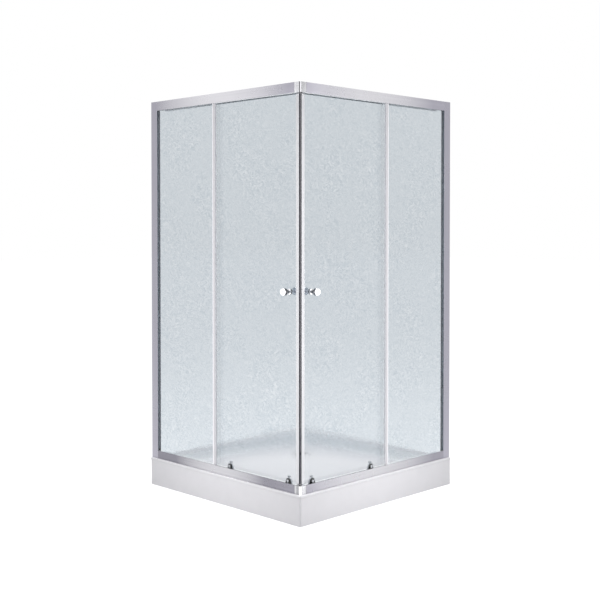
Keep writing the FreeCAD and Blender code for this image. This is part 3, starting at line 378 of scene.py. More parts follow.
def make_groups():
    """Effects that the finishes share."""
    g, given, out = shader_group("Drawn Lines", ("Lines", "Height"), Stretch=(1.0, 1.0, 1.0))
    scaled = vector_math(g, "MULTIPLY", given["Vector"], given["Stretch"])
    fine = noise(g, scaled, 1.0, 4.0, 0.65)
    broad = noise(g, scaled, 0.22, 2.0)
    g.links.new(stretch(g, weighted(g, fine, 0.6, broad), 0.34, 0.66), out["Lines"])
    g.links.new(fine, out["Height"])

    g, given, out = shader_group("Use Marks", ("Smudge", "Scratch"), Scale=6.0)
    smudge = noise(g, given["Vector"], given["Scale"], 5.0, 0.6, 0.4)
    g.links.new(stretch(g, smudge, 0.42, 0.68), out["Smudge"])
    hair = add(g, "ShaderNodeTexVoronoi", {"Vector": given["Vector"], "Scale": 31.0},
               feature="DISTANCE_TO_EDGE")
    g.links.new(stretch(g, hair.outputs["Distance"], 0.0, 0.012, 1.0, 0.0), out["Scratch"])

    g, given, out = shader_group("Moulded Grain", ("Grain", "Tone"), Scale=900.0)
    g.links.new(noise(g, given["Vector"], given["Scale"], 2.0, 0.6), out["Grain"])
    g.links.new(stretch(g, noise(g, given["Vector"], 14.0, 4.0, 0.55), 0.3, 0.7), out["Tone"])

    # 1 near the floor and 0 above, with an edge that drops along the face by the slope
    g, given, out = shader_group("Low Fade", ("Fade",), Low=0.0, High=1.0, Slope=0.0)
    x, y, z = axes(g, given["Vector"])
    across = math_node(g, "SUBTRACT", 0.83, math_node(g, "SUBTRACT", x, y))
    tilted = math_node(g, "ADD", z, math_node(g, "MULTIPLY", across, given["Slope"]))
    g.links.new(stretch(g, tilted, given["Low"], given["High"], 1.0, 0.0,
                        interpolation_type="SMOOTHSTEP"), out["Fade"])

    # a painted highlight along a rail's middle: 1 - ((x - y - middle) / reach)^2, and no less than
    # 0
    g, given, out = shader_group("Middle Light", ("Light",), Middle=0.0, Reach=0.5)
    x, y, _ = axes(g, given["Vector"])
    off = math_node(g, "SUBTRACT", math_node(g, "SUBTRACT", x, y), given["Middle"])
    off = math_node(g, "DIVIDE", off, given["Reach"])
    light = math_node(g, "SUBTRACT", 1.0, math_node(g, "MULTIPLY", off, off), clamp=True)
    g.links.new(light, out["Light"])

    # ripples pulled out along slanting, drifting strokes, and stronger in some places
    g, given, out = shader_group("Glass Relief", ("Height", "Shade"), Scale=100.0)
    drift = noise(g, given["Vector"], 21.0, 1.0, output="Color")
    turned = add(g, "ShaderNodeVectorRotate",
                 {"Vector": given["Vector"], "Axis": (1.0, -1.0, 0.0), "Angle": 0.45})
    place = vector_math(g, "MULTIPLY_ADD", turned.outputs["Vector"], (0.95, 0.95, 1.5),
                        vector_math(g, "MULTIPLY", drift, (0.055, 0.055, 0.075)))
    ripples = noise(g, place, given["Scale"], 1.6, 0.45, 1.4)
    pebbles = noise(g, place, math_node(g, "MULTIPLY", given["Scale"], 2.3), 1.0, 0.4, 0.4)
    height = weighted(g, ripples, 0.72, pebbles)
    g.links.new(height, out["Height"])
    wavy = stretch(g, noise(g, given["Vector"], 4.5, 1.0), 0.40, 0.60, 0.6, 1.35)
    shade = math_node(g, "SUBTRACT", stretch(g, height, 0.36, 0.66), 0.5)
    g.links.new(math_node(g, "ADD", math_node(g, "MULTIPLY", shade, wavy), 0.5), out["Shade"])


def new_material(name, colour, roughness, **values):
    """A material's tree, its one Principled shader and its Object coordinates. Constants go on the
    shader's own sockets."""
    material = bpy.data.materials.new(f"{name}_finish")
    material.use_nodes = True
    tree = material.node_tree
    shader = next(n for n in tree.nodes if n.type == "BSDF_PRINCIPLED")
    shader.inputs["Base Color"].default_value = (*colour, 1.0)
    shader.inputs["Roughness"].default_value = roughness
    for key, value in values.items():
        shader.inputs[key.replace("_", " ").title().replace("Ior", "IOR")].default_value = value
    return tree, shader, add(tree, "ShaderNodeTexCoord").outputs["Object"]


def use(tree, name, vector, **inputs):
    """The outputs of a shared group, placed in a material with its own values."""
    group = bpy.data.node_groups[name]
    return add(tree, "ShaderNodeGroup", {"Vector": vector, **inputs}, node_tree=group).outputs


def drive(tree, shader, **sockets):
    """Link sockets to the shader's inputs of these names."""
    for key, socket in sockets.items():
        tree.links.new(socket, shader.inputs[key.replace("_", " ").title()])


def drawn_metal(name, colour, along, pale=None, middle=0.5, reach=0.45):
    """Satin anodised aluminium with fine lines along the bar it was drawn in. A rail has a painted
    highlight along its middle, which lies this far from the front corner and fades out over the
    reach, and falls to a darker tone, painted shade, towards its ends. Its inside, behind the outer
    face, is made rougher and painted near-white: painted light that lifts the shade in its grooves."""
    roughness = 0.30
    tree, shader, place = new_material(name, colour, roughness, metallic=1.0)
    stretches = {"x": (3.0, 260.0, 260.0), "y": (260.0, 3.0, 260.0), "z": (260.0, 260.0, 3.0)}
    lines = use(tree, "Drawn Lines", place, Stretch=stretches[along])
    marks = use(tree, "Use Marks", place, Scale=7.0)
    satin = between(tree, marks["Smudge"], roughness - 0.04, roughness + 0.05)
    if pale:
        # painted highlight along the rail's middle, falling to painted shade towards its ends
        light = use(tree, "Middle Light", place, Middle=2 * HALF_SIDE - 0.011 - middle, Reach=reach)
        painted_highlight_and_lines = blend(tree, 1.0, blend(tree, light["Light"], colour, pale),
                       tinted(tree, (1.0, 1.0, 1.0), lines["Lines"], 0.10), "MULTIPLY")
        # painted light: the inside behind the outer face, groove filler included, goes near-white
        # and rougher to lift its shade
        x, y, z = axes(tree, place)
        forward = forward_of(tree, x, y, along)
        front = stretch(tree, forward, HALF_SIDE - 0.0125, HALF_SIDE - 0.0118, 1.0, 0.0)
        rear = stretch(tree, forward, HALF_SIDE - 0.0616, HALF_SIDE - 0.0610)
        over = stretch(tree, z, 1.7885, 1.7890, 1.0, 0.0)
        inside = math_node(tree, "MULTIPLY", math_node(tree, "MULTIPLY", front, rear), over)
        shade = blend(tree, inside, painted_highlight_and_lines, (0.93, 0.93, 0.94))
        satin = math_node(tree, "ADD", satin, math_node(tree, "MULTIPLY", inside, 0.25), clamp=True)
    else:
        shade = tinted(tree, colour, lines["Lines"], 0.10)
    drive(tree, shader, base_color=shade, roughness=satin,
          normal=bump(tree, lines["Height"], 0.00006, 0.35))


def plated(name, colour, roughness):
    """Bright plating with faint finger marks and hair scratches."""
    tree, shader, place = new_material(name, colour, roughness, metallic=1.0)
    marks = use(tree, "Use Marks", place, Scale=38.0)
    drive(tree, shader, roughness=between(tree, marks["Smudge"], roughness, roughness + 0.07),
          normal=bump(tree, marks["Scratch"], 0.00001, 0.15))


def banded(tree, value, tones, colour=(1.0, 1.0, 1.04)):
    """A colour that passes through stops, each a (place, tone), as the value goes up."""
    low, high = tones[0][0], tones[-1][0]
    node = add(tree, "ShaderNodeValToRGB", {0: stretch(tree, value, low, high)})
    ramp = node.color_ramp
    ramp.interpolation = "EASE"
    for index, (spot, tone) in enumerate(tones):
        where = (spot - low) / (high - low)
        stop = ramp.elements[index] if index < 2 else ramp.elements.new(where)
        stop.position = where
        stop.color = (*(min(1.0, part * tone) for part in colour), 1.0)
    return node.outputs[0]


def corner_trim(name, tones):
    """Plated moulding with reflections drawn as upright bands on both sides of its arris: they
    follow x + y, which is 0 at the arris, below 0 on the left face and above it on the right."""
    tree, shader, place = new_material(name, colours().bright, 0.25, metallic=1.0)
    marks = use(tree, "Use Marks", place, Scale=38.0)
    x, y, _ = axes(tree, place)
    drive(tree, shader, base_color=banded(tree, math_node(tree, "ADD", x, y), tones),
          roughness=between(tree, marks["Smudge"], 0.22, 0.30))


def edge_profile():
    """Matt anodised profile toned in bands by |x + y|; the white band along its glass side, where
    |x + y| is greatest, is a painted highlight.
    """
    tree, shader, place = new_material("profile_aluminium_z", (0.6, 0.6, 0.6), 0.4, metallic=0.6)
    lines = use(tree, "Drawn Lines", place, Stretch=(700.0, 700.0, 5.0))
    x, y, _ = axes(tree, place)
    outward = math_node(tree, "ABSOLUTE", math_node(tree, "ADD", x, y), 0.0)
    # tones across the profile; the last, white band is a painted highlight along the glass side
    tones = ((0.52, 0.97), (0.5275, 0.96), (0.5290, 0.60), (0.5398, 0.60), (0.5420, 0.90),
             (0.55, 0.90))
    drive(tree, shader, base_color=banded(tree, outward, tones, (1.0, 0.985, 1.03)),
          roughness=between(tree, lines["Lines"], 0.36, 0.44),
          normal=bump(tree, lines["Height"], 0.00004, 0.3))


def knob_chrome():
    """Polished knobs toned by depth from the tray's edge: painted reflection brightens the face,
    painted shade darkens the neck, and the base is mid-toned.
    """
    tree, shader, place = new_material("knob_chrome", (0.9, 0.9, 0.92), 0.06, metallic=1.0)
    marks = use(tree, "Use Marks", place, Scale=60.0)
    x, y, _ = axes(tree, place)
    depth = math_node(tree, "SUBTRACT", HALF_SIDE, forward_of(tree, x, y))
    # bands of painted reflection and painted shade, by depth from the tray's edge
    tones = ((-0.004, 0.96), (-0.0006, 0.96), (0.0008, 0.30), (0.012, 0.36), (0.0145, 0.42),
             (0.031, 0.30), (0.0328, 0.95), (0.0365, 0.95), (0.040, 0.85), (0.07, 0.85),
             (0.085, 0.8))
    drive(tree, shader, base_color=banded(tree, depth, tones),
          roughness=between(tree, marks["Smudge"], 0.06, 0.14))


def moulded(name, colour, roughness, depth=0.00004, **values):
    """Moulded plastic or rubber: faint tone clouds, fine grain, slight roughness changes."""
    tree, shader, place = new_material(name, colour, roughness, **values)
    grain = use(tree, "Moulded Grain", place, Scale=900.0)
    drive(tree, shader, base_color=tinted(tree, colour, grain["Tone"], 0.06),
          roughness=between(tree, grain["Tone"], roughness * 0.9, min(1.0, roughness * 1.15)),
          normal=bump(tree, grain["Grain"], depth, 0.4))


def glazing_rubber():
    """A thin dark lip on the outside of each post's glass; paler strips inside and in the rails."""
    dark = tuple(colours().rubber)
    pale = tuple(min(1.0, 0.40 + value) for value in dark)
    tree, shader, place = new_material("gasket_rubber", pale, 0.6)
    grain = use(tree, "Moulded Grain", place, Scale=900.0)
    x, y, z = axes(tree, place)
    lip = stretch(tree, forward_of(tree, x, y), HALF_SIDE - 0.0175, HALF_SIDE - 0.0165)
    post = math_node(tree, "MULTIPLY", stretch(tree, z, 0.1612, 0.1625),
                     stretch(tree, z, 1.7465, 1.7478, 1.0, 0.0))
    outside = math_node(tree, "MULTIPLY", lip, post)
    drive(tree, shader, base_color=tinted(tree, pale, outside, 1.0, dark),
          roughness=between(tree, grain["Tone"], 0.54, 0.69),
          normal=bump(tree, grain["Grain"], 0.00004, 0.4))


def textured_glass():
    """Pressed glass: a relief of uneven ripples, a pale blue body and slightly frosted faces.
    Low down it is painted clearer: painted light, so the tray seen through the lower glass shows
    brighter."""
    colour = tuple(colours().glass)
    tree, shader, place = new_material(
        "textured_glass", colour, 0.07, transmission_weight=1.0, ior=1.45)
    relief = use(tree, "Glass Relief", place, Scale=0.9 / sizes().relief_pitch)
    fade = use(tree, "Low Fade", place, Low=0.24, High=0.34, Slope=0.22)
    frosted = tinted(tree, colour, relief["Shade"], 0.35, (1.0, 1.0, 1.0))
    # painted light: near the floor the glass is mixed towards a clear tint, so the tray behind
    # shows brighter
    clear = math_node(tree, "MULTIPLY", fade["Fade"], 0.92)
    drive(tree, shader, base_color=blend(tree, clear, frosted, (0.93, 0.955, 0.97)),
          normal=bump(tree, relief["Height"], sizes().relief_depth, 0.22))


def acrylic():
    """Pressed sheet with a gloss skin, a hint of orange peel and faint wiped marks; the basin's
    walls are painted a little paler, painted light that lifts the shade on them."""
    colour = tuple(colours().acrylic)
    tree, shader, place = new_material(
        "tray_acrylic", colour, 0.24, coat_weight=0.2, coat_roughness=0.1)
    grain = use(tree, "Moulded Grain", place, Scale=160.0)
    marks = use(tree, "Use Marks", place, Scale=5.0)
    x, y, _ = axes(tree, place)
    # painted light: the basin's walls, between these distances from the middle, are made paler to
    # lift their shade
    out = math_node(tree, "MAXIMUM", *(math_node(tree, "ABSOLUTE", axis, 0.0) for axis in (x, y)))
    wall = math_node(tree, "MULTIPLY", stretch(tree, out, 0.376, 0.388),
                     stretch(tree, out, 0.414, 0.422, 1.0, 0.0))
    sheet = tinted(tree, colour, grain["Tone"], 0.03)
    drive(tree, shader, base_color=blend(tree, wall, sheet, (0.955, 0.965, 0.975)),
          roughness=between(tree, marks["Smudge"], 0.235, 0.255),
          normal=bump(tree, grain["Grain"], 0.00008, 0.25))


def make_materials():
    """Every finish, named for its slot; mouldings, posts and rails have their own."""
    make_groups()
    c = colours()
    acrylic()
    textured_glass()
    corner_trim("bright_trim_top", (
        (-0.036, 0.58), (-0.030, 0.72), (-0.017, 0.62), (-0.0095, 0.76), (-0.007, 0.20),
        (-0.0018, 0.16), (0.0002, 0.92), (0.0038, 0.90), (0.0062, 0.46), (0.02, 0.50),
        (0.036, 0.60)))
    corner_trim("bright_trim_bottom", (
        (-0.036, 0.32), (-0.028, 0.50), (-0.017, 0.30), (-0.008, 0.38), (-0.0042, 1.0),
        (0.0055, 1.0), (0.0085, 0.52), (0.018, 0.60), (0.036, 0.48)))
    knob_chrome()
    glazing_rubber()
    edge_profile()
    plated("chrome", (0.34, 0.35, 0.37), 0.12)
    plated("zinc_steel", (0.52, 0.53, 0.56), 0.3)
    moulded("clear_seal", (0.95, 0.97, 0.99), 0.3, alpha=0.09)
    moulded("white_profile", c.white_strip, 0.3, coat_weight=0.2)
    moulded("magnet_strip", c.dark_strip, 0.8, specular_ior_level=0.05)
    moulded("white_washer", (0.8, 0.8, 0.8), 0.45)
    moulded("foot_plastic", (0.025, 0.025, 0.028), 0.5)
    moulded("waste_plastic", (0.78, 0.78, 0.78), 0.4)
    moulded("stop_rubber", (0.05, 0.05, 0.055), 0.7, depth=0.0001)
    moulded("roller_plastic", c.roller, 0.35, coat_weight=0.1)
    moulded("release_plastic", (0.62, 0.64, 0.68), 0.35)
    moulded("wheel_nylon", (0.74, 0.74, 0.73), 0.42, subsurface_weight=0.1, subsurface_scale=0.002)
    drawn_metal("frame_aluminium_z", c.anodised, "z")
    # each rail: tone of its painted shade at the ends, tone of its painted highlight at the middle,
    # where the middle lies, how far it reaches
    rails = {"top_left": (0.93, 1.86, 0.53, 0.45), "top_right": (1.04, 1.72, 0.45, 0.42),
             "bottom_left": (0.60, 1.37, 0.52, 0.30), "bottom_right": (0.78, 1.42, 0.46, 0.42)}
    painted_highlight_tint = (1.0, 1.015, 0.93)
    for name, (low, high, middle, reach) in rails.items():
        dark = tuple(value * low for value in c.anodised)
        light = tuple(min(1.0, value * high * w) for value, w in zip(c.anodised, painted_highlight_tint))
        along = "y" if name.endswith("right") else "x"
        drawn_metal(f"frame_aluminium_{name}", dark, along, light, middle, reach)


def finish_of(name):
    """The finish of a slot, or one by its own name; plain bars are drawn upright."""
    upright = "_z" if name in ("frame_aluminium", "profile_aluminium") else ""
    return bpy.data.materials[f"{name}{upright}_finish"]


def dress(node, slot):
    """Give a shown solid its finish."""
    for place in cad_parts[node].material_slots:
        place.material = finish_of(slot)


# ---- pieces ----


class SHOWER_OT_finishes(bpy.types.Operator):
    """Make every finish of the enclosure"""

    bl_idname = "shower.finishes"
    bl_label = "Finishes"

    def execute(self, context):
        make_materials()
        return {"FINISHED"}


class SHOWER_OT_tray(bpy.types.Operator):
    """Build the pressed tray and dress its bars and feet"""

    bl_idname = "shower.tray"
    bl_label = "Tray"

    def execute(self, context):
        s = sizes()
        skin, lip, skirt_corner = 0.004, 0.004, 0.008
        notch_half, notch_top, waste_radius = 0.035, 0.071, 0.0303
        low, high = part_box("drain_body")
        drain = np.array(((low[0] + high[0]) / 2, (low[1] + high[1]) / 2))
        floor = high[2] - 0.002
        top = RIM_TOP
        outer = HALF_SIDE
        skirt = outer - 0.0015
        basin, basin_floor = outer - 0.090, outer - 0.112
        notch = (drain[0] + notch_half * np.array((-1, 1))) / (skirt - skirt_corner)
        fractions = np.sort(np.concatenate([np.linspace(-1, 1, 21), notch]))

        def arc(radius, start, stop, count=7):
            """Points (radius cos a, radius sin a) between two angles."""
            a = np.radians(np.linspace(start, stop, count))
            return zip(radius * np.cos(a), radius * np.sin(a))

        # the way up the skirt, over the lip and down into the basin, each row a half side, a height
        # and the round of its corners
        edge, cove = s.basin_edge, s.basin_cove
        rows = [(side, up, skirt_corner) for side, up in (
            (skirt, 0.0), (skirt, notch_top), (skirt, top - 0.0120), (skirt + 0.0004, top - 0.0110),
            (outer - 0.0004, top - 0.0106), (outer, top - 0.0098))]
        rows += [(outer - lip + a, top - lip + b, lip + a) for a, b in arc(lip, 0, 90)]
        slope = 180 - math.degrees(math.atan2(basin - basin_floor, top - floor))
        rows += [(basin + edge + a, top - edge + b, 0.0) for a, b in arc(edge, 90, slope)]
        foot = floor + s.floor_fall
        toe = basin_floor - cove / 2
        rows += [(toe - a, foot + cove - b, 0.0) for a, b in arc(cove, slope, 90)]
        half, height, corner = np.array(rows).T
        # inside the basin, where none is given, the corner's round follows the half side
        inside = np.clip(0.085 + (half - basin), 0.03, None)
        corner = np.where(corner > 0, corner, inside)
        rings = [rounded_square_ring(h, r, fractions) for h, r in zip(half, corner)]
        heights = np.repeat(height[:, None, None], len(rings[0]), 1)
        grid = np.concatenate([np.array(rings), heights], -1)

        # the floor falls to the waste: rings blend from the basin's outline to the drain's circle
        last = grid[-1]
        away = last[:, :2] - drain
        reach = np.linalg.norm(away, axis=1, keepdims=True)
        circle = drain + away / reach * waste_radius
        share = np.array((0.12, 0.3, 0.5, 0.7, 0.84, 0.93, 1.0))[:, None, None]
        flat = (1 - share) * last[None, :, :2] + share * circle[None]
        fall = floor + (1 - share) * s.floor_fall + np.zeros_like(flat[..., :1])
        grid = np.concatenate([grid, np.concatenate([flat, fall], -1)])
        faces = grid_faces(*grid.shape[:2])
        # the pipe notch: the skirt's lowest row is left out between its sides, at the back
        middle = grid.reshape(-1, 3)[faces].mean(1)
        in_notch = (np.abs(middle[:, 0] - drain[0]) < notch_half) & (middle[:, 1] > skirt - 0.01)
        faces = faces[~(in_notch & (middle[:, 2] < notch_top))]
        parts = [(grid, faces.tolist())]
        piece = build("tray", parts, "tray_acrylic", closed=False, smooth_angle=50)
        shell = piece.modifiers.new("Skin", "SOLIDIFY")
        shell.thickness = skin
        shell.offset = -1.0
        shell.use_even_offset = True
        piece.modifiers.move(piece.modifiers.find("Face weights"), 1)
        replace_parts(piece, "tray_shell")
        dress("tray_bars", "zinc_steel")
        dress("tray_feet", "foot_plastic")
        dress("foot_locknuts", "zinc_steel")
        return {"FINISHED"}


class SHOWER_OT_waste(bpy.types.Operator):
    """Build the drain cover and dress the waste below it"""

    bl_idname = "shower.waste"
    bl_label = "Waste"

    def execute(self, context):
        low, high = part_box("drain_cover")
        centre = ((low[0] + high[0]) / 2, (low[1] + high[1]) / 2, 0.0)
        radius = (high[0] - low[0]) / 2
        top, thick = high[2], 0.0016

        def dome(r):
            """Height of the cover: the top less 5 mm times (r / radius)^2.6."""
            return top - 0.0050 * (r / radius) ** 2.6

        over = np.linspace(0, radius - 0.0006, 14)
        under = np.linspace(radius - thick, 0.007, 10)
        rim = dome(over[-1])
        profile = [*zip(over, dome(over)), (radius, rim - 0.0007), (radius - 0.0004, rim - 0.0012),
                   *zip(under, dome(under) - thick), (0.006, top - 0.0028),
                   (0.006, low[2] + 0.0006), (0.0054, low[2]), (0.0, low[2])]
        piece = build("waste_cover", [turned(profile, centre, (0, 0, 1))], "chrome", "drain_cover")
        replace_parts(piece, "drain_cover")
        dress("drain_body", "waste_plastic")
        dress("drain_trap", "waste_plastic")
        return {"FINISHED"}


def post_outline(low, high, web=0.016, wall=WALL):
    """An H: two long cheeks joined by a web, open to the wall and to the glass."""
    (u0, v0, _), (u1, v1, _) = low, high
    a, b = u0 + web, u0 + web + wall
    return [(u0, v0), (u1, v0), (u1, v0 + wall), (b, v0 + wall), (b, v1 - wall), (u1, v1 - wall),
            (u1, v1), (u0, v1), (u0, v1 - wall), (a, v1 - wall), (a, v0 + wall), (u0, v0 + wall)]


def rail_outlines(wall=WALL, ledge=0.010, bead=0.003):
    """Sections of the top and bottom rails in v and z from their outer lower corner: a groove for
    the fixed glass outside, the door's slot, and the ledge with its bead inside."""
    depth = 0.051
    web = wall + GROOVE
    inner = depth - wall - ledge
    h, drop = 0.042, 0.007
    top = [(0, 0), (0, h), (depth, h), (depth, 0), (depth - wall, 0), (depth - wall, drop),
           (inner, drop), (inner, drop + wall + bead), (inner + wall, drop + wall + bead),
           (inner + wall, drop + wall), (depth - wall, drop + wall), (depth - wall, h - wall),
           (web + wall, h - wall), (web + wall, 0), (web, 0), (web, h - wall), (wall, h - wall),
           (wall, 0)]
    h, rise = 0.035, 0.024
    low = [(0, 0), (depth, 0), (depth, rise), (inner, rise), (inner, rise - wall - bead),
           (inner + wall, rise - wall - bead), (inner + wall, rise - wall),
           (depth - wall, rise - wall), (depth - wall, wall), (web + wall, wall),
           (web + wall, rise), (web, rise), (web, wall), (wall, wall), (wall, h), (0, h)]
    return {"top": top, "bottom": low}


class SHOWER_OT_frame(bpy.types.Operator):
    """Build the aluminium posts and rails and the mouldings that join them"""

    bl_idname = "shower.frame"
    bl_label = "Frame"

    def execute(self, context):
        s = sizes()
        outlines = rail_outlines()
        for side in SIDES:
            node = f"{side}_side_post"
            outline = post_outline(*face_box(node))
            stand(side, "post", node, outline, s.extrusion_round, "frame_aluminium")
            for level in LEVELS:
                node = f"{side}_{level}_rail"
                low, high = face_box(node)
                outline = [(low[1] + v, low[2] + z) for v, z in outlines[level]]
                part = level_bar(side, outline, low[0], high[0], s.extrusion_round, mitred=True)
                # a thin filler closes the groove's mouth where it holds no glass; the rail's finish
                # paints it near-white, painted light over the groove's shade
                mouth = low[2] + (0.0003 if level == "top" else 0.0226)
                v = low[1] + WALL
                outline = oblong(v, mouth, v + GROOVE, mouth + 0.0012)
                filler = level_bar(side, outline, 0.047, 0.549, 0.0002)
                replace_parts(build(f"{side}_{level}_bar", [part, filler], "frame_aluminium",
                                  finish=f"frame_aluminium_{level}_{side}"), node)
            dress(f"{side}_wall_channel", "frame_aluminium")
        for level in LEVELS:
            self.moulding(level)
        dress("rail_brackets", "zinc_steel")
        dress("frame_screws", "zinc_steel")
        dress("track_stops", "stop_rubber")
        return {"FINISHED"}

    def moulding(self, level):
        """The corner cap: its square plan carried up and drawn in a little at both ends, and a
        tongue into each rail."""
        node = f"{level}_corner_connector"
        low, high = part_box(node)
        r = sizes().moulding_round
        z0, z1 = low[2], high[2]
        v0 = min(HALF_SIDE - high[0], HALF_SIDE + low[1])  # how far it stands back from the corner
        reach, middle, half, arris = 0.046, 0.0285, 0.0175, 0.0042
        loop = rounded(oblong(v0, v0, reach, reach), np.array((arris, r, r, r)), 7)
        heights = np.array((z0, z0 + r * 0.3, z0 + r, z1 - r, z1 - r * 0.3, z1))
        drawn_in = np.array((r, r * 0.3, 0.0, 0.0, r * 0.3, r))
        ring = middle + (loop[None] - middle) * (1 - drawn_in / half)[:, None, None]
        parts = [tube(in_face("right", ring[..., 0], ring[..., 1], heights[:, None]))]
        t0, t1 = 0.0129, 0.0251  # the tongue's sides
        low_z, high_z = (z0 + 0.0025, z1 - 0.0019) if level == "top" else (z0 + 0.0019, z0 + 0.0237)
        tongue = oblong(t0, low_z, t1, high_z)
        parts += [level_bar(side, tongue, reach - 0.001, 0.070, 0.0008) for side in SIDES]
        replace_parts(build(f"{level}_corner_moulding", parts, "bright_trim",
                          finish=f"bright_trim_{level}"), node)


class SHOWER_OT_panels(bpy.types.Operator):
    """Dress the fixed panes and build the profile and seal at each free edge"""

    bl_idname = "shower.panels"
    bl_label = "Fixed Panels"

    def execute(self, context):
        s = sizes()
        for side in SIDES:
            dress(f"{side}_fixed_glass", "textured_glass")
            self.gaskets(side)
            node = f"{side}_end_profile"
            (u0, v0, _), (u1, v1, _) = face_box(node)
            w = 0.0014
            outline = [(u0, v0), (u1, v0), (u1, v0 + w), (u0 + w, v0 + w), (u0 + w, v1 - w),
                       (u1, v1 - w), (u1, v1), (u0, v1)]
            stand(side, "edge_profile", node, outline, s.extrusion_round, "profile_aluminium")
            node = f"{side}_end_seal"
            (a0, b0, _), (a1, b1, _) = face_box(node)
            lip = 0.0016
            root = v1 - lip / 2
            outline = [(a0, b0), (a1, b0), (a1, root), (a0 + lip, root), (a0 + lip, b1), (a0, b1)]
            stand(side, "edge_seal", node, outline, s.strip_round, "clear_seal")
        return {"FINISHED"}

    def gaskets(self, side):
        """The rubber lips that grip the fixed glass at the post, and the strips in the rails."""
        node = f"{side}_glass_gaskets"
        (u0, v0, z0), (u1, v1, z1) = face_box(node)
        (_, g0, _), (_, g1, _) = face_box(f"{side}_fixed_glass")
        strip, lip, deep = 0.009, 0.0036, 0.0060
        r = sizes().strip_round * 0.6
        parts = []
        for low, high, wide in ((g0 - 0.0012, g0, lip), (g1, v1, deep)):
            outline = oblong(u1 - wide, low, u1, high)
            parts.append(upright_bar(side, outline, z0 + strip, z1 - strip, r))
        for low, high in ((z0, z0 + strip), (z1 - strip, z1)):
            parts.append(level_bar(side, oblong(v0, low, g0, high), u0, u1 - deep, r))
        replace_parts(build(f"{side}_glass_rubbers", parts, "gasket_rubber"), node)


class SHOWER_OT_doors(bpy.types.Operator):
    """Dress the door panes and build their edge strips"""

    bl_idname = "shower.doors"
    bl_label = "Doors"

    def execute(self, context):
        s = sizes()
        for side in SIDES:
            body = f"{side}_door"
            dress(f"{side}_door_glass", "textured_glass")
            (g0, gv0, _), (g1, gv1, _) = face_box(f"{side}_door_glass")
            node = f"{side}_lead_profile"
            (u0, v0, _), (u1, v1, _) = face_box(node)
            gap = 0.0005
            cheek = u1 - 0.0055
            outline = [(u0, v0), (cheek, v0), (cheek, gv0), (g0, gv0), (g0, gv1), (u1, gv1),
                       (u1, v1), (v1 + gap, v1), (u0, u0 - gap)]
            stand(side, "white_strip", node, outline, s.strip_round, "white_profile", body)
            node = f"{side}_door_magnet"
            (a0, b0, _), (a1, b1, _) = face_box(node)
            outline = [(a0, b0), (a1, b0), (a1, b1)]
            stand(side, "magnet", node, outline, s.strip_round / 2, "magnet_strip", body)
            node = f"{side}_rear_seal"
            (a0, b0, _), (a1, b1, _) = face_box(node)
            outline = oblong(a0, b0, a1, b1) + [(a0, gv1), (g1, gv1), (g1, gv0), (a0, gv0)]
            stand(side, "trailing_seal", node, outline, s.strip_round, "clear_seal", body)
        return {"FINISHED"}


class SHOWER_OT_knobs(bpy.types.Operator):
    """Turn the round knobs and dress their stud and washers"""

    bl_idname = "shower.knobs"
    bl_label = "Knobs"

    def execute(self, context):
        a = np.radians(np.linspace(0, 90, 8))
        for side in SIDES:
            for place, sign in (("outer", -1.0), ("inner", 1.0)):
                node = f"{side}_knob_{place}"
                low, high = face_box(node)
                u, z = (low[0] + high[0]) / 2, (low[2] + high[2]) / 2
                base_v = high[1] if place == "outer" else low[1]
                length = high[1] - low[1]
                radius = (high[2] - low[2]) / 2
                back = length - 0.017
                r = 0.0026
                profile = [(0.003, 0.0), (0.0114, 0.0), (0.012, 0.0006), (0.012, 0.0034),
                           (0.0114, 0.0040), (0.0090, 0.0046), (0.0074, 0.0060), (0.0065, 0.0085),
                           (0.0065, back - 0.003), (0.0070, back - 0.001), (0.0085, back)]
                profile += [(radius - r + r * math.sin(b), back + r - r * math.cos(b)) for b in a]
                profile += [(radius - r + r * math.cos(b), length - r + r * math.sin(b)) for b in a]
                profile += [(radius * 0.70, length), (radius * 0.66, length - 0.0003),
                            (0.0, length - 0.0003), (0.0, 0.012), (0.003, 0.012), (0.003, 0.0)]
                part = turned(profile, in_face(side, u, base_v, z), np.array(inward(side)) * sign)
                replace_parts(build(f"{side}_{place}_knob", [part], "chrome", f"{side}_door",
                                  "knob_chrome"), node)
            dress(f"{side}_knob_stud", "zinc_steel")
            dress(f"{side}_knob_washers", "white_washer")
        return {"FINISHED"}


class SHOWER_OT_rollers(bpy.types.Operator):
    """Turn the wheels and dress the hangers and the quick-release rollers"""

    bl_idname = "shower.rollers"
    bl_label = "Rollers"

    def execute(self, context):
        for side in SIDES:
            for end in ENDS:
                self.wheel(side, f"top_{end}", 0.003, 0.0091)
                self.wheel(side, f"bottom_{end}", 0.002, 0.0056)
                dress(f"{side}_{end}_release", "release_plastic")
            dress(f"{side}_hanger_bolts", "zinc_steel")
            dress(f"{side}_roller_bodies", "roller_plastic")
        return {"FINISHED"}

    def wheel(self, side, name, bore, groove):
        """A nylon tyre with a rounded groove, its shoulders eased, on a recessed hub."""
        node = f"{side}_{name}_wheel"
        (u0, v0, z0), (u1, v1, z1) = face_box(node)
        u, z, radius, width = (u0 + u1) / 2, (z0 + z1) / 2, (z1 - z0) / 2, v1 - v0
        e = 0.0005
        mid = width / 2
        profile = [(bore + 0.00005, 0.0006), (bore + 0.0016, 0.0006), (bore + 0.0018, 0.0),
                   (radius - e, 0.0), (radius, e), (radius, mid - 0.0022),
                   (groove + 0.0004, mid - 0.0018), (groove, mid - 0.0013)]
        profile += [(r, width - d) for r, d in reversed(profile)]
        part = turned(profile, in_face(side, u, v0, z), inward(side), 56)
        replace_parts(build(f"{side}_{name}_roller", [part], "wheel_nylon", node), node)


# ---- stage ----


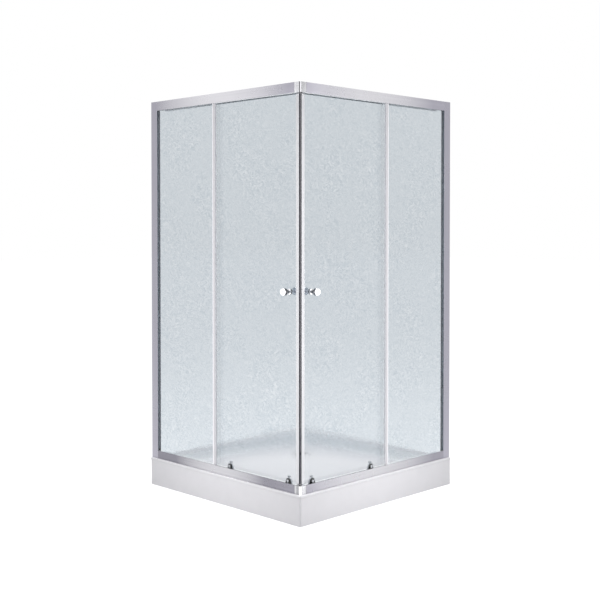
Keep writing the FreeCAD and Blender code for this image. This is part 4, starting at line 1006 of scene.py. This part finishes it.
class SHOWER_OT_stage(bpy.types.Operator):
    """Lay the floor, hang the lights and set up the camera"""

    bl_idname = "shower.stage"
    bl_label = "Stage"

    def execute(self, context):
        scene = context.scene
        scene.view_settings.view_transform = "Standard"
        self.floor(scene)
        self.world(scene)
        # name, place, target, size, power
        self.lamp(scene, "right", (1.33, -0.06, 0.72), (0.0, -0.06, 0.72), (0.7, 2.2), 13.2)
        self.lamp(scene, "left", (0.04, -1.33, 0.72), (0.04, 0.0, 0.72), (0.7, 2.2), 11.4)
        self.lamp(scene, "over", (0.1, -0.1, 4.5), (0.0, 0.0, 0.0), (2.4, 2.4), 116.0)
        self.camera(scene)
        return {"FINISHED"}

    def floor(self, scene):
        """A wide level sheet just under the feet, white to the camera but for the soft shadow."""
        size = 30.0
        line = np.linspace(-size, size, 9)
        x, y = np.meshgrid(line, line, indexing="ij")
        grid = np.stack([x, y, np.full_like(x, -0.0004)], -1)
        mesh = bpy.data.meshes.new("floor")
        faces = grid_faces(9, 9, wrap_columns=False)[:, ::-1]
        mesh.from_pydata(grid.reshape(-1, 3), [], faces.tolist())
        piece = bpy.data.objects.new("floor", mesh)
        scene.collection.objects.link(piece)
        material = bpy.data.materials.new("floor_sheet")
        material.use_nodes = True
        tree = material.node_tree
        tree.nodes.clear()
        matt = add(tree, "ShaderNodeBsdfDiffuse", {"Color": (0.34, 0.34, 0.34, 1.0)})
        lift = math_node(tree, "MULTIPLY", seen_directly(tree), 0.88)
        glow = add(tree, "ShaderNodeEmission", {"Color": (1.0, 1.0, 1.0, 1.0), "Strength": lift})
        both = add(tree, "ShaderNodeAddShader", {0: matt.outputs[0], 1: glow.outputs[0]})
        add(tree, "ShaderNodeOutputMaterial", {"Surface": both.outputs[0]})
        mesh.materials.append(material)

    def world(self, scene):
        """White where it is looked at, reflected or seen through glass, and a plain soft light."""
        world = bpy.data.worlds.new("studio")
        scene.world = world
        world.use_nodes = True
        tree = world.node_tree
        tree.nodes.clear()
        light = add(tree, "ShaderNodeBackground",
                    {"Color": (0.97, 0.98, 1.0, 1.0), "Strength": 0.46})
        white = add(tree, "ShaderNodeBackground", {"Color": (1.0, 1.0, 1.0, 1.0)})
        mix = add(tree, "ShaderNodeMixShader",
                  {0: seen_directly(tree), 1: light.outputs[0], 2: white.outputs[0]})
        add(tree, "ShaderNodeOutputWorld", {"Surface": mix.outputs[0]})

    def lamp(self, scene, name, place, target, size, power):
        data = bpy.data.lights.new(name, "AREA")
        data.shape = "RECTANGLE"
        data.size, data.size_y = size
        data.energy = power
        lamp = bpy.data.objects.new(name, data)
        scene.collection.objects.link(lamp)
        lamp.location = place
        away = np.subtract(place, target)
        tip = math.atan2(math.hypot(away[0], away[1]), away[2])
        lamp.rotation_euler = (tip, 0.0, math.atan2(away[1], away[0]) + math.pi / 2)
        lamp.visible_camera = False
        lamp.visible_transmission = False

    def camera(self, scene):
        """A long lens at chest height, square on to the front corner and tipped down a little."""
        data = bpy.data.cameras.new("camera")
        data.sensor_width = 36.0
        data.lens = 61.416
        data.shift_y = -0.0836
        camera = bpy.data.objects.new("camera", data)
        camera.location = (3.3978, -3.3810, 1.2053)
        camera.rotation_euler = (math.radians(88.75), 0.0, math.radians(45.179))
        scene.collection.objects.link(camera)
        scene.camera = camera


def seen_directly(tree):
    """1 for rays from the camera, off a gloss surface or through glass, else 0."""
    path = add(tree, "ShaderNodeLightPath")
    camera, gloss, through = (path.outputs[f"Is {kind} Ray"]
                              for kind in ("Camera", "Glossy", "Transmission"))
    return math_node(tree, "MAXIMUM", math_node(tree, "MAXIMUM", camera, gloss), through)


# ---- panel and registration ----


PIECE_STEPS = (
    SHOWER_OT_finishes, SHOWER_OT_tray, SHOWER_OT_waste, SHOWER_OT_frame, SHOWER_OT_panels,
    SHOWER_OT_doors, SHOWER_OT_knobs, SHOWER_OT_rollers, SHOWER_OT_stage)


class SHOWER_PT_panel(bpy.types.Panel):
    """The enclosure's sizes, colours and building steps"""

    bl_label = "Shower Enclosure"
    bl_idname = "SHOWER_PT_panel"
    bl_space_type = "VIEW_3D"
    bl_region_type = "UI"
    bl_category = "Shower"

    def draw(self, context):
        for group in (context.scene.shower_sizes, context.scene.shower_colours):
            column = self.layout.column(align=True)
            for name in group.__annotations__:
                column.prop(group, name)
        for step in PIECE_STEPS:
            self.layout.operator(step.bl_idname)


CLASSES = (ShowerSizes, ShowerColours, *PIECE_STEPS, SHOWER_PT_panel)


def register():
    for cls in CLASSES:
        bpy.utils.register_class(cls)
    bpy.types.Scene.shower_sizes = bpy.props.PointerProperty(type=ShowerSizes)
    bpy.types.Scene.shower_colours = bpy.props.PointerProperty(type=ShowerColours)


def unregister():
    del bpy.types.Scene.shower_colours
    del bpy.types.Scene.shower_sizes
    for cls in reversed(CLASSES):
        bpy.utils.unregister_class(cls)


def main():
    register()
    for step in PIECE_STEPS:
        group, name = step.bl_idname.split(".")
        getattr(getattr(bpy.ops, group), name)()


if __name__ == "__main__":
    main()
